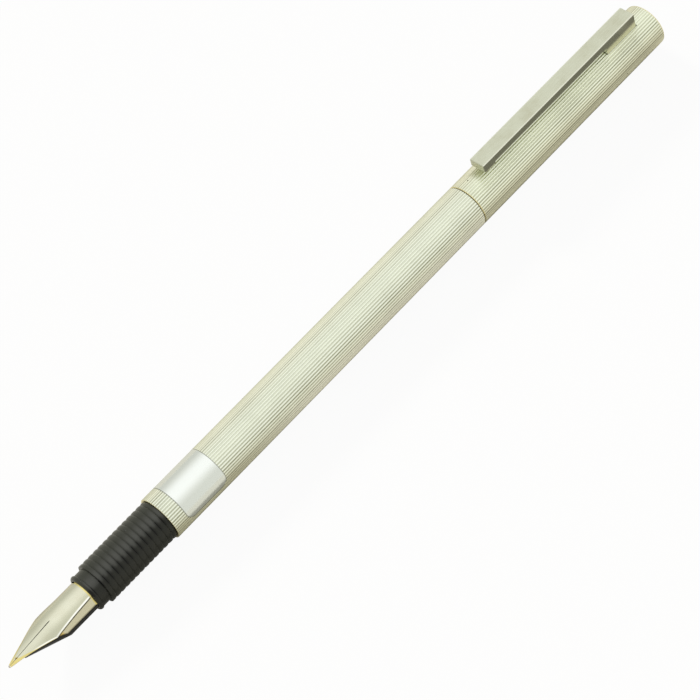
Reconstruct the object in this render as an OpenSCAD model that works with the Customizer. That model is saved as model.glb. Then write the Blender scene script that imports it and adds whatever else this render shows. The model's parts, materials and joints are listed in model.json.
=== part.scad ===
// Fountain pen with its cap posted on the tail.
// Each piece is drawn along Z, with the barrel's front edge at zero and the nib's top facing +Y.
// lay() then puts it along X, on the ground, with the nib toward -X.

/* [Barrel] */
// Outside diameter of the barrel and the cap
barrel_d = 8.7; // [8.2:0.1:10]
// Length of the barrel tube
barrel_l = 78.7; // [76:0.1:95]
// Wall of the barrel tube
barrel_wall = 0.4; // [0.35:0.05:0.6]
// Chamfer on the barrel's edges
edge = 0.08; // [0.02:0.01:0.12]
// Number of flutes round the barrel and the cap
flute_count = 52; // [24:2:60]
// Width of one flute
flute_w = 0.1; // [0.06:0.01:0.14]
// Depth of one flute
flute_depth = 0.08; // [0.04:0.01:0.12]
// Distance of the smooth panel from the barrel's front edge
panel_front = 2.85; // [1:0.05:6]
// Length of the smooth panel
panel_l = 9.4; // [5:0.1:20]
// Angle that the smooth panel covers
panel_span = 166; // [60:2:200]
// Corner radius of the smooth panel
panel_corner = 1.5; // [0.5:0.1:2.5]

/* [Barrel fittings] */
// Distance of the thread bush from the barrel's front edge
bush_set = 1; // [0.8:0.1:2]
// Length of the thread bush
bush_l = 6.5; // [5:0.1:9]
// Wall of the thread bush
bush_wall = 0.5; // [0.4:0.05:0.7]
// Pitch of the section's thread
thread_pitch = 0.9; // [0.6:0.1:1.2]
// Depth of the thread's grooves
thread_depth = 0.2; // [0.1:0.05:0.3]
// Length of the tail plug inside the barrel
plug_l = 6; // [4:0.5:9]
// Length of the spigot that holds the posted cap
spigot_l = 5; // [4:0.1:8]
// Width of the friction ring on the spigot
ring_w = 1; // [0.6:0.1:1.4]
// Depth of the friction ring's groove
ring_groove = 0.45; // [0.3:0.05:0.6]
// Gap in the split friction ring
ring_split = 1.2; // [0.6:0.1:2]

/* [Section] */
// Length of the grip from the barrel's edge to the nib's mouth
grip_l = 17.8; // [15:0.05:20]
// Length of the plain neck and the bead at the mouth
neck_l = 2.4; // [2:0.1:4]
// Wall of the neck round the nib
neck_wall = 0.45; // [0.4:0.05:0.55]
// Length of the bead at the mouth
bead_l = 0.85; // [0.6:0.05:1.2]
// Distance from the mouth to the bead's crest
bead_front = 0.5; // [0.2:0.05:0.55]
// Wall of the neck at the mouth's front edge
mouth_wall = 0.1; // [0.05:0.05:0.3]
// Height of the bead over the neck
bead_rise = 0.18; // [0.1:0.02:0.24]
// Number of ribs on the grip
rib_count = 13; // [6:1:18]
// Depth of the grooves between the ribs
rib_depth = 0.18; // [0.1:0.01:0.35]
// Thickness of the washer between grip and barrel
washer_t = 0.25; // [0.15:0.05:0.6]
// Step from the grip's surface down to the washer's edge
washer_step = 0.12; // [0.05:0.01:0.25]
// Outside diameter of the ink nipple
nipple_d = 2.4; // [1.8:0.1:2.8]
// Bore of the ink nipple
nipple_bore = 0.9; // [0.5:0.1:1.2]
// Length of the nipple that enters the converter
nipple_l = 3.6; // [3:0.1:5]
// Diameter of the nipple's flange
nipple_flange_d = 4; // [3.4:0.1:5]
// Thickness of the nipple's flange
nipple_flange_t = 0.8; // [0.5:0.1:1.2]

/* [Nib and feed] */
// Outside diameter of the nib where it enters the grip
nib_d = 6; // [5:0.1:6.1]
// Thickness of the nib's sheet
nib_t = 0.3; // [0.2:0.02:0.4]
// Length of the nib in front of the grip
nib_out = 17.35; // [15:0.05:20]
// Length of the nib inside the grip
nib_seat = 6; // [4:0.1:8]
// Angle that the nib's wings cover
nib_wrap = 154; // [120:2:180]
// Distance from the mouth to the front corner of the wings
wing_l = 6.8; // [5:0.05:7.5]
// Distance from the mouth to the shoulders
shoulder_l = 8.65; // [8:0.05:10]
// Width across the shoulders
shoulder_w = 4.86; // [3.6:0.02:5]
// Distance from the mouth to the bend where the tines droop
bend_l = 7.35; // [6:0.05:9]
// Angle by which the tines droop
nib_droop = 8.5; // [4:0.5:11]
// Width of the slit
slit_w = 0.1; // [0.06:0.01:0.2]
// Distance from the mouth to the back end of the slit
slit_start = 7.35; // [6:0.05:9]
// Diameter of the tipping bead
tipping_d = 0.5; // [0.45:0.05:0.9]
// Length of the feed's full depth in front of the grip
feed_full_l = 6.25; // [5:0.05:7]
// Length of the feed in front of the grip
feed_l = 14.3; // [11:0.05:15]
// Diameter of the feed's cone at its front end
feed_tip_d = 1.4; // [0.8:0.1:1.6]
// Rise of the cone's front end over the pen's axis
feed_rise = 0.98; // [0.8:0.02:1.2]
// Step from the feed's full depth down to its cone
feed_step = 0.06; // [0.05:0.01:0.3]
// Angle between the nib's wings and the feed's keel
keel_gap = 2; // [1:0.5:4]
// Diameter of the feed's stem inside the section
stem_d = 3.2; // [2.4:0.1:3.6]
// Width of the ink channel and of the comb's slots
channel_w = 0.3; // [0.2:0.05:0.5]
// Depth of the ink channel
channel_depth = 0.5; // [0.3:0.05:0.8]
// Number of slots in the feed's comb
comb_count = 5; // [3:1:7]

/* [Converter] */
// Stroke of the piston
stroke = 20; // [14:0.5:24]
// Wall of the ink tube
ink_wall = 0.45; // [0.3:0.05:0.6]
// Length of the ink tube's mouth that grips the nipple
mouth_l = 3.2; // [2.4:0.1:3.3]
// Length of the piston seal
seal_l = 4.2; // [3:0.1:6]
// Length of the rod inside the seal
seal_hold = 2; // [1.5:0.1:2.5]
// Diameter of the piston rod
rod_d = 1.8; // [1.4:0.1:2]
// Width across the rod's two flats
rod_flat = 1.4; // [1:0.1:1.8]
// Thickness of the rod guide
guide_l = 2; // [1.5:0.1:3]
// Wall of the metal collar
collar_wall = 0.25; // [0.2:0.05:0.4]
// Length of the collar over the ink tube
collar_hold = 3; // [2:0.1:5]
// Diameter of the knob's flange inside the collar
flange_d = 5; // [4.6:0.1:5.2]
// Thickness of the knob's flange and of the collar's rim
flange_t = 1; // [0.7:0.1:1.5]
// Diameter of the knob's neck through the collar's rim
knob_neck_d = 3.8; // [3:0.1:4.2]
// Step from the collar's surface down to the knob's
knob_step = 0.15; // [0.05:0.05:0.3]
// Number of grooves on the knob
knurl_count = 20; // [12:2:28]
// Depth of the knob's grooves
knurl_depth = 0.2; // [0.1:0.05:0.3]

/* [Cap] */
// Wall of the cap tube
cap_wall = 0.3; // [0.25:0.01:0.35]
// Length of the bevel on the cap's lip
lip_l = 0.4; // [0.2:0.05:0.6]
// Depth of the bevel on the cap's lip
lip_depth = 0.15; // [0.05:0.05:0.2]
// Angle from the nib's top to the clip
cap_turn = 11.5; // [0:0.5:90]
// Thickness of the cap's end piece
cap_top_t = 1.3; // [0.8:0.1:2.5]
// Room between the nib's tip and the inner cap's end
tip_room = 0.9; // [0.7:0.1:2]
// Thickness of the inner cap's end
inner_end_t = 0.9; // [0.6:0.1:1.5]
// Room between the nib and the inner cap's wall
inner_room = 0.4; // [0.2:0.05:0.6]
// Width of the slots between the inner cap's fingers
finger_slot = 0.5; // [0.3:0.1:0.9]
// Diameter of the cap screw
screw_d = 1.2; // [1:0.1:1.4]
// Length of the cap screw in the carrier
screw_l = 4.4; // [3:0.1:5]
// Diameter of the cap screw's head
screw_head_d = 2.2; // [1.8:0.1:2.6]
// Thickness of the cap screw's head
screw_head_t = 0.5; // [0.4:0.05:0.6]
// Distance of the cap screw below the axis
screw_drop = 1.2; // [0.8:0.1:1.4]

/* [Clip] */
// Length of the clip
clip_l = 41.85; // [30:0.05:44]
// Width of the clip
clip_w = 3.2; // [2.6:0.1:3.6]
// Thickness of the clip's bar
clip_t = 1.6; // [1:0.1:2]
// Height of the clip's top over the cap
clip_rise = 2.81; // [2.4:0.01:4]
// Bevel on the clip's upper edges
clip_bevel = 0.12; // [0.05:0.01:0.3]
// Length of the clip's foot
foot_l = 8.1; // [7.5:0.1:9]
// Length of the bump under the clip's free end
bump_l = 3; // [2:0.1:4.5]
// Radius across the bump
bump_r = 2.2; // [1.9:0.1:3]
// Largest angle by which the clip opens
clip_open = 6; // [3:0.5:7]
// Length of the carrier block in the cap
carrier_l = 12.1; // [11.5:0.1:15]
// Distance from the carrier's front to the clip's foot
foot_set = 1.35; // [1.2:0.05:2]
// Diameter of the pivot pin
pin_d = 1.2; // [0.9:0.1:1.4]
// Distance from the foot's front to the pivot pin
pin_set = 2; // [1.6:0.1:2.4]
// Depth of the pivot pin under the cap's bore
pin_sink = 1.45; // [1.3:0.05:1.6]
// Metal of the foot below the pivot pin
foot_web = 0.5; // [0.4:0.05:0.7]
// Mean diameter of the clip's spring
spring_d = 2.2; // [1.8:0.1:2.4]
// Diameter of the spring's wire
wire_d = 0.35; // [0.25:0.05:0.4]
// Turns of the spring
spring_turns = 4; // [3:0.5:4.5]
// Distance from the foot's back to the spring's axis
spring_set = 2; // [1.8:0.1:2.2]
// Depth of the spring's pocket below the axis
pocket_drop = 2.4; // [2:0.1:2.8]

/* [Clearances] */
// Between pieces pressed together
press_gap = 0.01; // [0.01:0.005:0.02]
// Between the faces of pieces that part from each other
face_gap = 0.02; // [0.02:0.01:0.05]
// Between barrel and posted cap
seam = 0.08; // [0.05:0.01:0.15]
// Between the cap's bore and what slides in it
cap_gap = 0.05; // [0.04:0.01:0.1]
// Between the cap's bore and the friction ring
ring_gap = 0.02; // [0.015:0.005:0.04]
// Between the shank and the bush
thread_gap = 0.05; // [0.03:0.01:0.1]
// Between the converter and the bush that it passes through
pass_gap = 0.25; // [0.15:0.05:0.3]
// Between pieces of the converter that run in each other
run_gap = 0.04; // [0.02:0.01:0.06]
// Between the ends of pieces that turn on each other
end_gap = 0.15; // [0.1:0.01:0.2]
// Between the clip's foot and the sides of its slot
slot_gap = 0.08; // [0.05:0.01:0.15]
// Between the clip's foot and the ends and floor of its slot
swing_gap = 0.2; // [0.15:0.05:0.3]
// Between the clip's bump and the cap
bump_gap = 0.1; // [0.08:0.01:0.2]

/* [Hidden] */
$fn = 96;

// Reach of a cut past the face that it opens
over = 1;

// Radii from the barrel inwards
barrel_r = barrel_d / 2;
bore_r = barrel_r - barrel_wall;
bush_r = bore_r - press_gap;
bush_bore_r = bush_r - bush_wall;
shank_r = bush_bore_r - thread_gap;
collar_r = bush_bore_r - pass_gap;
ink_r = collar_r - collar_wall - press_gap;
chamber_r = ink_r - ink_wall;
knob_r = collar_r - knob_step;

// Radii of the cap and of what it slides over
cap_bore_r = barrel_r - cap_wall;
liner_r = cap_bore_r - press_gap;
spigot_r = cap_bore_r - cap_gap;
ring_seat_r = spigot_r - ring_groove;
grip_r = cap_bore_r - cap_gap;

// Radii of the section's front
nib_r = nib_d / 2;
nib_in_r = nib_r - nib_t;
core_r = nib_in_r - press_gap;
mouth_r = nib_r + face_gap;
neck_r = mouth_r + neck_wall;
bead_r = neck_r + bead_rise;

// Places along the section, from the washer back to the ink tube
washer_z = -face_gap - washer_t;
grip_z = washer_z - face_gap;
rib_z = neck_l - grip_l;
seat_z = nib_seat - grip_l;
bend_z = -grip_l - bend_l;
reach = grip_l + nib_out;
shank_z = bush_set + bush_l - end_gap;
ink_z = shank_z + end_gap;
nipple_z = shank_z + nipple_l;

// Places along the converter
swept_z = max(ink_z + mouth_l, nipple_z) + end_gap;
seal_z = swept_z + stroke;
guide_z = seal_z + seal_l + end_gap;
ink_end_z = guide_z + guide_l;
flange_z = ink_end_z + end_gap;
rim_z = flange_z + flange_t + end_gap;
knob_z = rim_z + flange_t + end_gap;
rod_z = seal_z + seal_l - seal_hold;
rod_end_z = knob_z + stroke;
knob_end_z = rod_end_z + flange_t + end_gap;

// The nib's tines, along their drooping axis
tine_r = nib_r - nib_t / 2;
tipping_r = tipping_d / 2;
tine_l = (nib_out - bend_l - tine_r * sin(nib_droop) - tipping_r) / cos(nib_droop);

// Places along the cap, from its lip
inner_z = grip_l - neck_l + end_gap * 2;
bead_stop_z = grip_l + end_gap;
nib_end_z = reach + tip_room;
carrier_z = nib_end_z + inner_end_t + press_gap;
cap_top_z = carrier_z + carrier_l + press_gap;
cap_l = cap_top_z + cap_top_t;
cap_z = barrel_l + seam;

// The clip, from the cap's lip and axis
foot_z = carrier_z + foot_set;
clip_end_z = foot_z + foot_l;
clip_z = clip_end_z - clip_l;
clip_top = barrel_r + clip_rise;
clip_under = clip_top - clip_t;
bump_y = barrel_r + bump_gap;
pin_r = pin_d / 2;
pin_z = foot_z + pin_set;
pin_y = cap_bore_r - pin_sink;
pin_half = sqrt(pow(liner_r, 2) - pow(pin_y + pin_r, 2)) - press_gap;
foot_y = pin_y - pin_r - foot_web;
floor_y = foot_y - (foot_l - pin_set) * sin(clip_open) - swing_gap;
slot_w = clip_w + 2 * slot_gap;
slot_back_z = clip_end_z + (cap_bore_r - pin_y + cap_wall) * sin(clip_open) + swing_gap;
spring_r = spring_d / 2;
spring_z = clip_end_z - spring_set;
spring_y0 = -pocket_drop + press_gap;
spring_y1 = foot_y - press_gap;
pocket_r = spring_r + wire_d / 2 + swing_gap;

// Middle of the whole pen, which is the frame's origin
mid_z = (cap_z + cap_l - reach) / 2;

silver = [0.78, 0.77, 0.72];
pale_silver = [0.86, 0.86, 0.84];
dark_silver = [0.52, 0.53, 0.49];
brass = [0.72, 0.58, 0.30];
black = [0.10, 0.10, 0.10];
soft_black = [0.05, 0.05, 0.05];
clear = [0.80, 0.88, 0.92, 0.5];

// Puts a piece drawn along Z into the part's frame
module lay() {
    translate([-mid_z, 0, barrel_r]) rotate([90, 0, 90]) children();
}

// Puts a piece of the cap, drawn from its lip, on the pen's tail
module on_tail() {
    lay() rotate([0, 0, -cap_turn]) translate([0, 0, cap_z]) children();
}

// A side view in (z, y), made as wide as w
module from_side(w) {
    rotate([0, -90, 0]) linear_extrude(w, center = true) children();
}

// A top view in (x, z), made as high as h
module from_top(h) {
    rotate([90, 0, 0]) linear_extrude(h, center = true) children();
}

// A stretch of pipe or rod round the axis
module pipe(r_out, r_in, z0, z1) {
    rotate_extrude() translate([r_in, z0]) square([r_out - r_in, z1 - z0]);
}

// Part of a pipe that covers an angle centred on the top
module sector(r_out, r_in, z0, z1, span) {
    rotate([0, 0, 90 - span / 2])
        rotate_extrude(angle = span) translate([r_in, z0]) square([r_out - r_in, z1 - z0]);
}

// One V-shaped cut along the surface of a round piece
module groove(r, w, depth, z0, z1) {
    half = w / 2 * (depth + over) / depth;
    translate([0, 0, z0])
        linear_extrude(z1 - z0) polygon([[r - depth, 0], [r + over, -half], [r + over, half]]);
}

// What is drawn along the nib's drooping tines
module droop() {
    translate([0, 0, bend_z]) rotate([-nib_droop, 0, 0]) children();
}

// Everything behind the plane in which the nib bends
module behind_bend() {
    translate([0, 0, bend_z]) rotate([-nib_droop / 2, 0, 0]) translate([-reach, -reach, 0]) cube(2 * reach);
}

// Everything in front of that plane
module before_bend() {
    translate([0, 0, bend_z]) rotate([-nib_droop / 2, 0, 0])
        translate([-reach, -reach, -2 * reach]) cube(2 * reach);
}

// Zigzag of a thread between two places on a round piece, with its crests at r
function thread(r, depth, z0, z1) =
    let (n = floor((z1 - z0) / thread_pitch), p = (z1 - z0) / n)
    [for (i = [0:n - 1], t = [0.2, 0.5, 0.8]) [r + (t == 0.5 ? depth : 0), z0 + p * (i + t)]];

// How far the panel's rounded corner draws back at a distance from its long edge
function corner_inset(s) =
    s >= panel_corner ? 0 : panel_corner - sqrt(pow(panel_corner, 2) - pow(panel_corner - s, 2));

// Fluted tube with a smooth panel on top
module barrel_tube() {
    panel_end = panel_front + panel_l;
    color(silver) lay() difference() {
        rotate_extrude() polygon([
            [bore_r, 0], [barrel_r - edge, 0], [barrel_r, edge],
            [barrel_r, barrel_l - edge], [barrel_r - edge, barrel_l], [bore_r, barrel_l]
        ]);
        for (i = [0:flute_count - 1]) {
            turn = (i + 0.5) * 360 / flute_count;
            off = abs((turn <= 180 ? turn : turn - 360));
            from_edge = (panel_span / 2 - off) * PI / 180 * barrel_r;
            rotate([0, 0, 90 + turn])
                if (from_edge <= 0)
                    groove(barrel_r, flute_w, flute_depth, -over, barrel_l + over);
                else {
                    groove(barrel_r, flute_w, flute_depth, -over, panel_front + corner_inset(from_edge));
                    groove(barrel_r, flute_w, flute_depth, panel_end - corner_inset(from_edge), barrel_l + over);
                }
        }
    }
}

// Threaded bush in the barrel's mouth
module barrel_bush() {
    z0 = bush_set;
    z1 = bush_set + bush_l;
    color(brass) lay() rotate_extrude() polygon(concat(
        [[bush_r, z1], [bush_r, z0], [bush_bore_r, z0]],
        thread(bush_bore_r, thread_depth, z0, z1),
        [[bush_bore_r, z1]]
    ));
}

// Plug in the barrel's tail, with the spigot for the posted cap
module tail_plug() {
    z0 = barrel_l - plug_l;
    z1 = barrel_l + spigot_l;
    ring_z = barrel_l + (spigot_l - ring_w) / 2;
    color(silver) lay() difference() {
        rotate_extrude() polygon([
            [0, z0], [bush_r - ring_groove, z0], [bush_r, z0 + ring_groove], [bush_r, barrel_l],
            [spigot_r, barrel_l], [spigot_r, ring_z - face_gap], [ring_seat_r, ring_z - face_gap],
            [ring_seat_r, ring_z + ring_w + face_gap], [spigot_r, ring_z + ring_w + face_gap],
            [spigot_r, z1 - ring_groove], [spigot_r - ring_groove, z1], [0, z1]
        ]);
    }
}

// Split ring that grips the posted cap
module tail_ring() {
    ring_z = barrel_l + (spigot_l - ring_w) / 2;
    color(brass) lay() difference() {
        pipe(cap_bore_r - ring_gap, ring_seat_r + cap_gap, ring_z, ring_z + ring_w);
        translate([-ring_split / 2, -2 * barrel_r, ring_z - over])
            cube([ring_split, 2 * barrel_r, ring_w + 2 * over]);
    }
}

// Seal on the shank, inside the barrel's mouth
module section_o_ring() {
    cord_r = (bore_r - shank_r) / 2 - face_gap;
    color(soft_black) lay()
        rotate_extrude() translate([(bore_r + shank_r) / 2, bush_set / 2]) circle(cord_r);
}

// Thin washer between grip and barrel
module section_washer() {
    color(soft_black) lay() pipe(grip_r - washer_step, shank_r + thread_gap, washer_z, washer_z + washer_t);
}

// Ribbed grip with its threaded shank
module grip_section() {
    steps = 8;
    rib_p = (grip_z - rib_z) / rib_count;
    stem_bore = stem_d / 2 + face_gap;
    flange_bore = nipple_flange_d / 2 + press_gap;
    front_r = mouth_r + mouth_wall;
    swell = [for (t = [0:steps])
        [front_r + (bead_r - front_r) * sin(90 * t / steps), bead_front * (1 - cos(90 * t / steps)) - grip_l]];
    fall = [for (t = [1:steps])
        [neck_r + bead_rise * cos(90 * t / steps), bead_front + (bead_l - bead_front) * sin(90 * t / steps) - grip_l]];
    ribs = [for (i = [0:rib_count - 1], t = [0:steps - 1])
        [grip_r - rib_depth * (1 - sqrt(sin(180 * t / steps))), rib_z + rib_p * (i + t / steps)]];
    color(black) lay() rotate_extrude() polygon(concat(
        [[mouth_r, -grip_l]], swell, fall, [[neck_r, rib_z]], ribs,
        [[grip_r - rib_depth, grip_z], [shank_r, grip_z], [shank_r, bush_set]],
        thread(shank_r, -thread_depth, bush_set, shank_z),
        [[shank_r, shank_z], [flange_bore, shank_z], [flange_bore, shank_z - nipple_flange_t]],
        [[stem_bore, shank_z - nipple_flange_t], [stem_bore, seat_z + face_gap], [mouth_r, seat_z + face_gap]]
    ));
}

// Folded nib with its slit
module nib() {
    color(pale_silver) lay() difference() {
        intersection() {
            union() {
                intersection() {
                    sector(nib_r, nib_in_r, bend_z - nib_r, seat_z, nib_wrap);
                    behind_bend();
                }
                intersection() {
                    droop() sector(nib_r, nib_in_r, -tine_l, nib_r, nib_wrap);
                    before_bend();
                }
            }
            from_top(4 * nib_r) polygon([
                [nib_r + over, seat_z + over], [nib_r + over, -grip_l - wing_l], [nib_r, -grip_l - wing_l],
                [shoulder_w / 2, -grip_l - shoulder_l], [tipping_r, -reach], [-tipping_r, -reach],
                [-shoulder_w / 2, -grip_l - shoulder_l], [-nib_r, -grip_l - wing_l],
                [-nib_r - over, -grip_l - wing_l], [-nib_r - over, seat_z + over]
            ]);
        }
        translate([-slit_w / 2, 0, -reach - over]) cube([slit_w, 2 * nib_r, nib_out + over - slit_start]);
    }
}

// Hard bead at the writing tip
module nib_tipping() {
    color(dark_silver) lay() droop() translate([0, tine_r, -tine_l]) intersection() {
        sphere(tipping_r);
        translate([-over, -over, -2 * over]) cube(2 * over);
    }
}

// Ink feed that follows the nib's underside
module feed() {
    keel_span = 360 - nib_wrap - 2 * keel_gap;
    full_z = -grip_l - feed_full_l;
    cone_l = feed_l - feed_full_l;
    cone_r = nib_r - feed_step;
    slope = (cone_r - feed_tip_d / 2) / cone_l;
    comb_p = (nib_seat - nib_t) / (comb_count + 1);
    color(soft_black) lay() union() {
        pipe(stem_d / 2, 0, seat_z - over, shank_z - nipple_flange_t - face_gap);
        difference() {
            intersection() {
                union() {
                    intersection() {
                        pipe(core_r, 0, bend_z - nib_r, seat_z);
                        behind_bend();
                    }
                    intersection() {
                        droop() pipe(core_r, 0, -tine_l, nib_r);
                        before_bend();
                    }
                    rotate([0, 0, 180]) sector(nib_r, core_r - nib_t, -grip_l - feed_l, seat_z, keel_span);
                }
                union() {
                    pipe(2 * nib_r, 0, full_z, seat_z + over);
                    translate([0, 0, full_z]) rotate([atan(feed_rise / cone_l), 0, 0]) translate([0, 0, -cone_l])
                        cylinder(r1 = feed_tip_d / 2, r2 = cone_r + slope * over, h = cone_l + over);
                }
            }
            translate([-channel_w / 2, core_r - channel_depth, bend_z])
                cube([channel_w, nib_r, seat_z + over - bend_z]);
            droop() translate([-channel_w / 2, core_r - channel_depth, -tine_l - over])
                cube([channel_w, nib_r, tine_l + over]);
            for (i = [1:comb_count])
                translate([-nib_r, -2 * nib_r, -grip_l + comb_p * i]) cube([2 * nib_r, 1.5 * nib_r, channel_w]);
        }
    }
}

// Nipple that carries ink into the section
module ink_nipple() {
    bore = nipple_bore / 2;
    flange = nipple_flange_d / 2;
    color(black) lay() rotate_extrude() polygon([
        [bore, shank_z - nipple_flange_t], [flange, shank_z - nipple_flange_t], [flange, shank_z],
        [nipple_d / 2, shank_z], [nipple_d / 2, nipple_z - bore], [nipple_d / 2 - bore / 2, nipple_z], [bore, nipple_z]
    ]);
}

// Clear ink tube that is pushed on the nipple
module converter_tube() {
    mouth = nipple_d / 2 + run_gap;
    color(clear) lay() rotate_extrude() polygon([
        [mouth, ink_z], [ink_r, ink_z], [ink_r, ink_end_z], [chamber_r, ink_end_z],
        [chamber_r, ink_z + mouth_l], [mouth, ink_z + mouth_l]
    ]);
}

// Metal sleeve that holds tube and knob together
module converter_collar() {
    tube = ink_r + press_gap;
    flange = flange_d / 2 + run_gap;
    neck = knob_neck_d / 2 + run_gap;
    color(silver) lay() rotate_extrude() polygon([
        [collar_r, ink_end_z - collar_hold], [collar_r, rim_z + flange_t], [neck, rim_z + flange_t], [neck, rim_z],
        [flange, rim_z], [flange, ink_end_z], [tube, ink_end_z], [tube, ink_end_z - collar_hold]
    ]);
}

// The rod's section, a round with two flats, grown by a gap
module rod_section(gap) {
    intersection() {
        circle(rod_d / 2 + gap);
        square([rod_flat + 2 * gap, 2 * rod_d], center = true);
    }
}

// Disc in the tube's end that keeps the rod from turning
module rod_guide() {
    color(black) lay() translate([0, 0, guide_z]) linear_extrude(guide_l) difference() {
        circle(chamber_r - press_gap);
        rod_section(run_gap);
    }
}

// Screw rod of the piston
module piston_rod() {
    color(pale_silver) lay() translate([0, 0, rod_z]) linear_extrude(rod_end_z - rod_z) rod_section(0);
}

// Piston head with two lips
module piston_seal() {
    lip = chamber_r - run_gap;
    waist = lip - collar_wall;
    hold = rod_d / 2 + press_gap;
    color(soft_black) lay() rotate_extrude() polygon([
        [0, seal_z], [lip, seal_z], [lip, seal_z + seal_l / 4], [waist, seal_z + seal_l / 2],
        [lip, seal_z + seal_l * 3 / 4], [lip, seal_z + seal_l], [hold, seal_z + seal_l], [hold, rod_z - press_gap],
        [0, rod_z - press_gap]
    ]);
}

// Knob that winds the piston
module converter_knob() {
    bore = rod_d / 2 + run_gap;
    color(black) lay() difference() {
        rotate_extrude() polygon([
            [bore, flange_z], [flange_d / 2, flange_z], [flange_d / 2, flange_z + flange_t],
            [knob_neck_d / 2, flange_z + flange_t], [knob_neck_d / 2, knob_z], [knob_r, knob_z],
            [knob_r, knob_end_z], [0, knob_end_z], [0, rod_end_z + end_gap], [bore, rod_end_z + end_gap]
        ]);
        for (i = [0:knurl_count - 1])
            rotate([0, 0, i * 360 / knurl_count])
                groove(knob_r, 2 * knurl_depth, knurl_depth, knob_z + flange_t, knob_end_z + over);
    }
}

// Fluted tube of the cap, with the slot for the clip's foot
module cap_tube() {
    steps = 6;
    round_end = [for (t = [0:steps])
        [cap_bore_r + cap_wall * cos(90 * t / steps), cap_l - cap_wall + cap_wall * sin(90 * t / steps)]];
    color(silver) on_tail() difference() {
        rotate_extrude() polygon(concat(
            [[cap_bore_r, 0], [barrel_r - lip_depth, 0], [barrel_r, lip_l]], round_end
        ));
        for (i = [0:flute_count - 1])
            rotate([0, 0, 90 + (i + 0.5) * 360 / flute_count])
                groove(barrel_r, flute_w, flute_depth, -over, cap_l + over);
        translate([-slot_w / 2, 0, foot_z - swing_gap]) cube([slot_w, 2 * barrel_r, slot_back_z - foot_z + swing_gap]);
    }
}

// Flat end piece of the cap
module cap_top() {
    color(silver) on_tail() pipe(liner_r, 0, cap_top_z, cap_l);
}

// Liner whose fingers hold the section when the pen is capped
module inner_cap() {
    lip_r = neck_r + cap_gap;
    room_r = bead_r + cap_gap;
    lip_z = grip_l - bead_l - end_gap;
    nib_room_r = nib_r + inner_room;
    color(black) on_tail() difference() {
        rotate_extrude() polygon([
            [liner_r, inner_z], [liner_r, nib_end_z + inner_end_t], [0, nib_end_z + inner_end_t], [0, nib_end_z],
            [nib_room_r, nib_end_z], [nib_room_r, bead_stop_z], [room_r, bead_stop_z], [room_r, lip_z + end_gap],
            [lip_r, lip_z], [lip_r, (lip_z + inner_z) / 2], [room_r, inner_z]
        ]);
        for (turn = [0, 90])
            rotate([0, 0, turn]) translate([-finger_slot / 2, -2 * barrel_r, inner_z - over])
                cube([finger_slot, 4 * barrel_r, bead_stop_z - inner_z + over]);
        translate([0, -screw_drop, nib_end_z - over]) cylinder(d = screw_d + 2 * run_gap, h = inner_end_t + 2 * over);
    }
}

// Block in the cap that carries the clip's pivot and spring
module clip_carrier() {
    color(brass) on_tail() difference() {
        pipe(liner_r, 0, carrier_z, carrier_z + carrier_l);
        translate([-slot_w / 2, floor_y, foot_z - swing_gap])
            cube([slot_w, 2 * barrel_r, slot_back_z - foot_z + swing_gap]);
        translate([0, pin_y, pin_z]) rotate([0, 90, 0])
            cylinder(r = pin_r + press_gap, h = 4 * barrel_r, center = true);
        translate([0, floor_y + over, spring_z]) rotate([90, 0, 0])
            cylinder(r = pocket_r, h = floor_y + over + pocket_drop);
        translate([0, -screw_drop, carrier_z - over]) cylinder(d = screw_d + 2 * press_gap, h = screw_l + over + end_gap);
    }
}

// Pivot of the clip
module clip_pin() {
    color(dark_silver) on_tail() translate([0, pin_y, pin_z]) rotate([0, 90, 0])
        cylinder(r = pin_r, h = 2 * pin_half, center = true);
}

// Coil spring under the clip's foot
module clip_spring() {
    sides = 6;
    rings = 14 * spring_turns;
    wire_r = wire_d / 2;
    low = spring_y0 + wire_r;
    rise = spring_y1 - wire_r - low;
    points = [for (i = [0:rings], k = [0:sides - 1])
        let (turn = 360 * spring_turns * i / rings, r = spring_r + wire_r * cos(360 * k / sides))
        [r * cos(turn), r * sin(turn), low + rise * i / rings + wire_r * sin(360 * k / sides)]];
    walls = [for (i = [0:rings - 1], k = [0:sides - 1])
        let (a = i * sides + k, b = i * sides + (k + 1) % sides)
        each [[a, b, a + sides], [b, b + sides, a + sides]]];
    ends = [for (k = [1:sides - 2]) each [[0, k + 1, k], [rings * sides, rings * sides + k, rings * sides + k + 1]]];
    color(pale_silver) on_tail() translate([0, 0, spring_z]) rotate([-90, 0, 0])
        polyhedron(points, concat(walls, ends));
}

// Screw that holds inner cap and carrier together
module cap_screw() {
    color(dark_silver) on_tail() translate([0, -screw_drop, nib_end_z]) union() {
        cylinder(d = screw_d, h = inner_end_t + screw_l);
        difference() {
            translate([0, 0, -screw_head_t]) cylinder(d = screw_head_d, h = screw_head_t);
            translate([-screw_head_d, -run_gap * 4, -screw_head_t - over])
                cube([2 * screw_head_d, run_gap * 8, over + screw_head_t / 2]);
        }
    }
}

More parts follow.
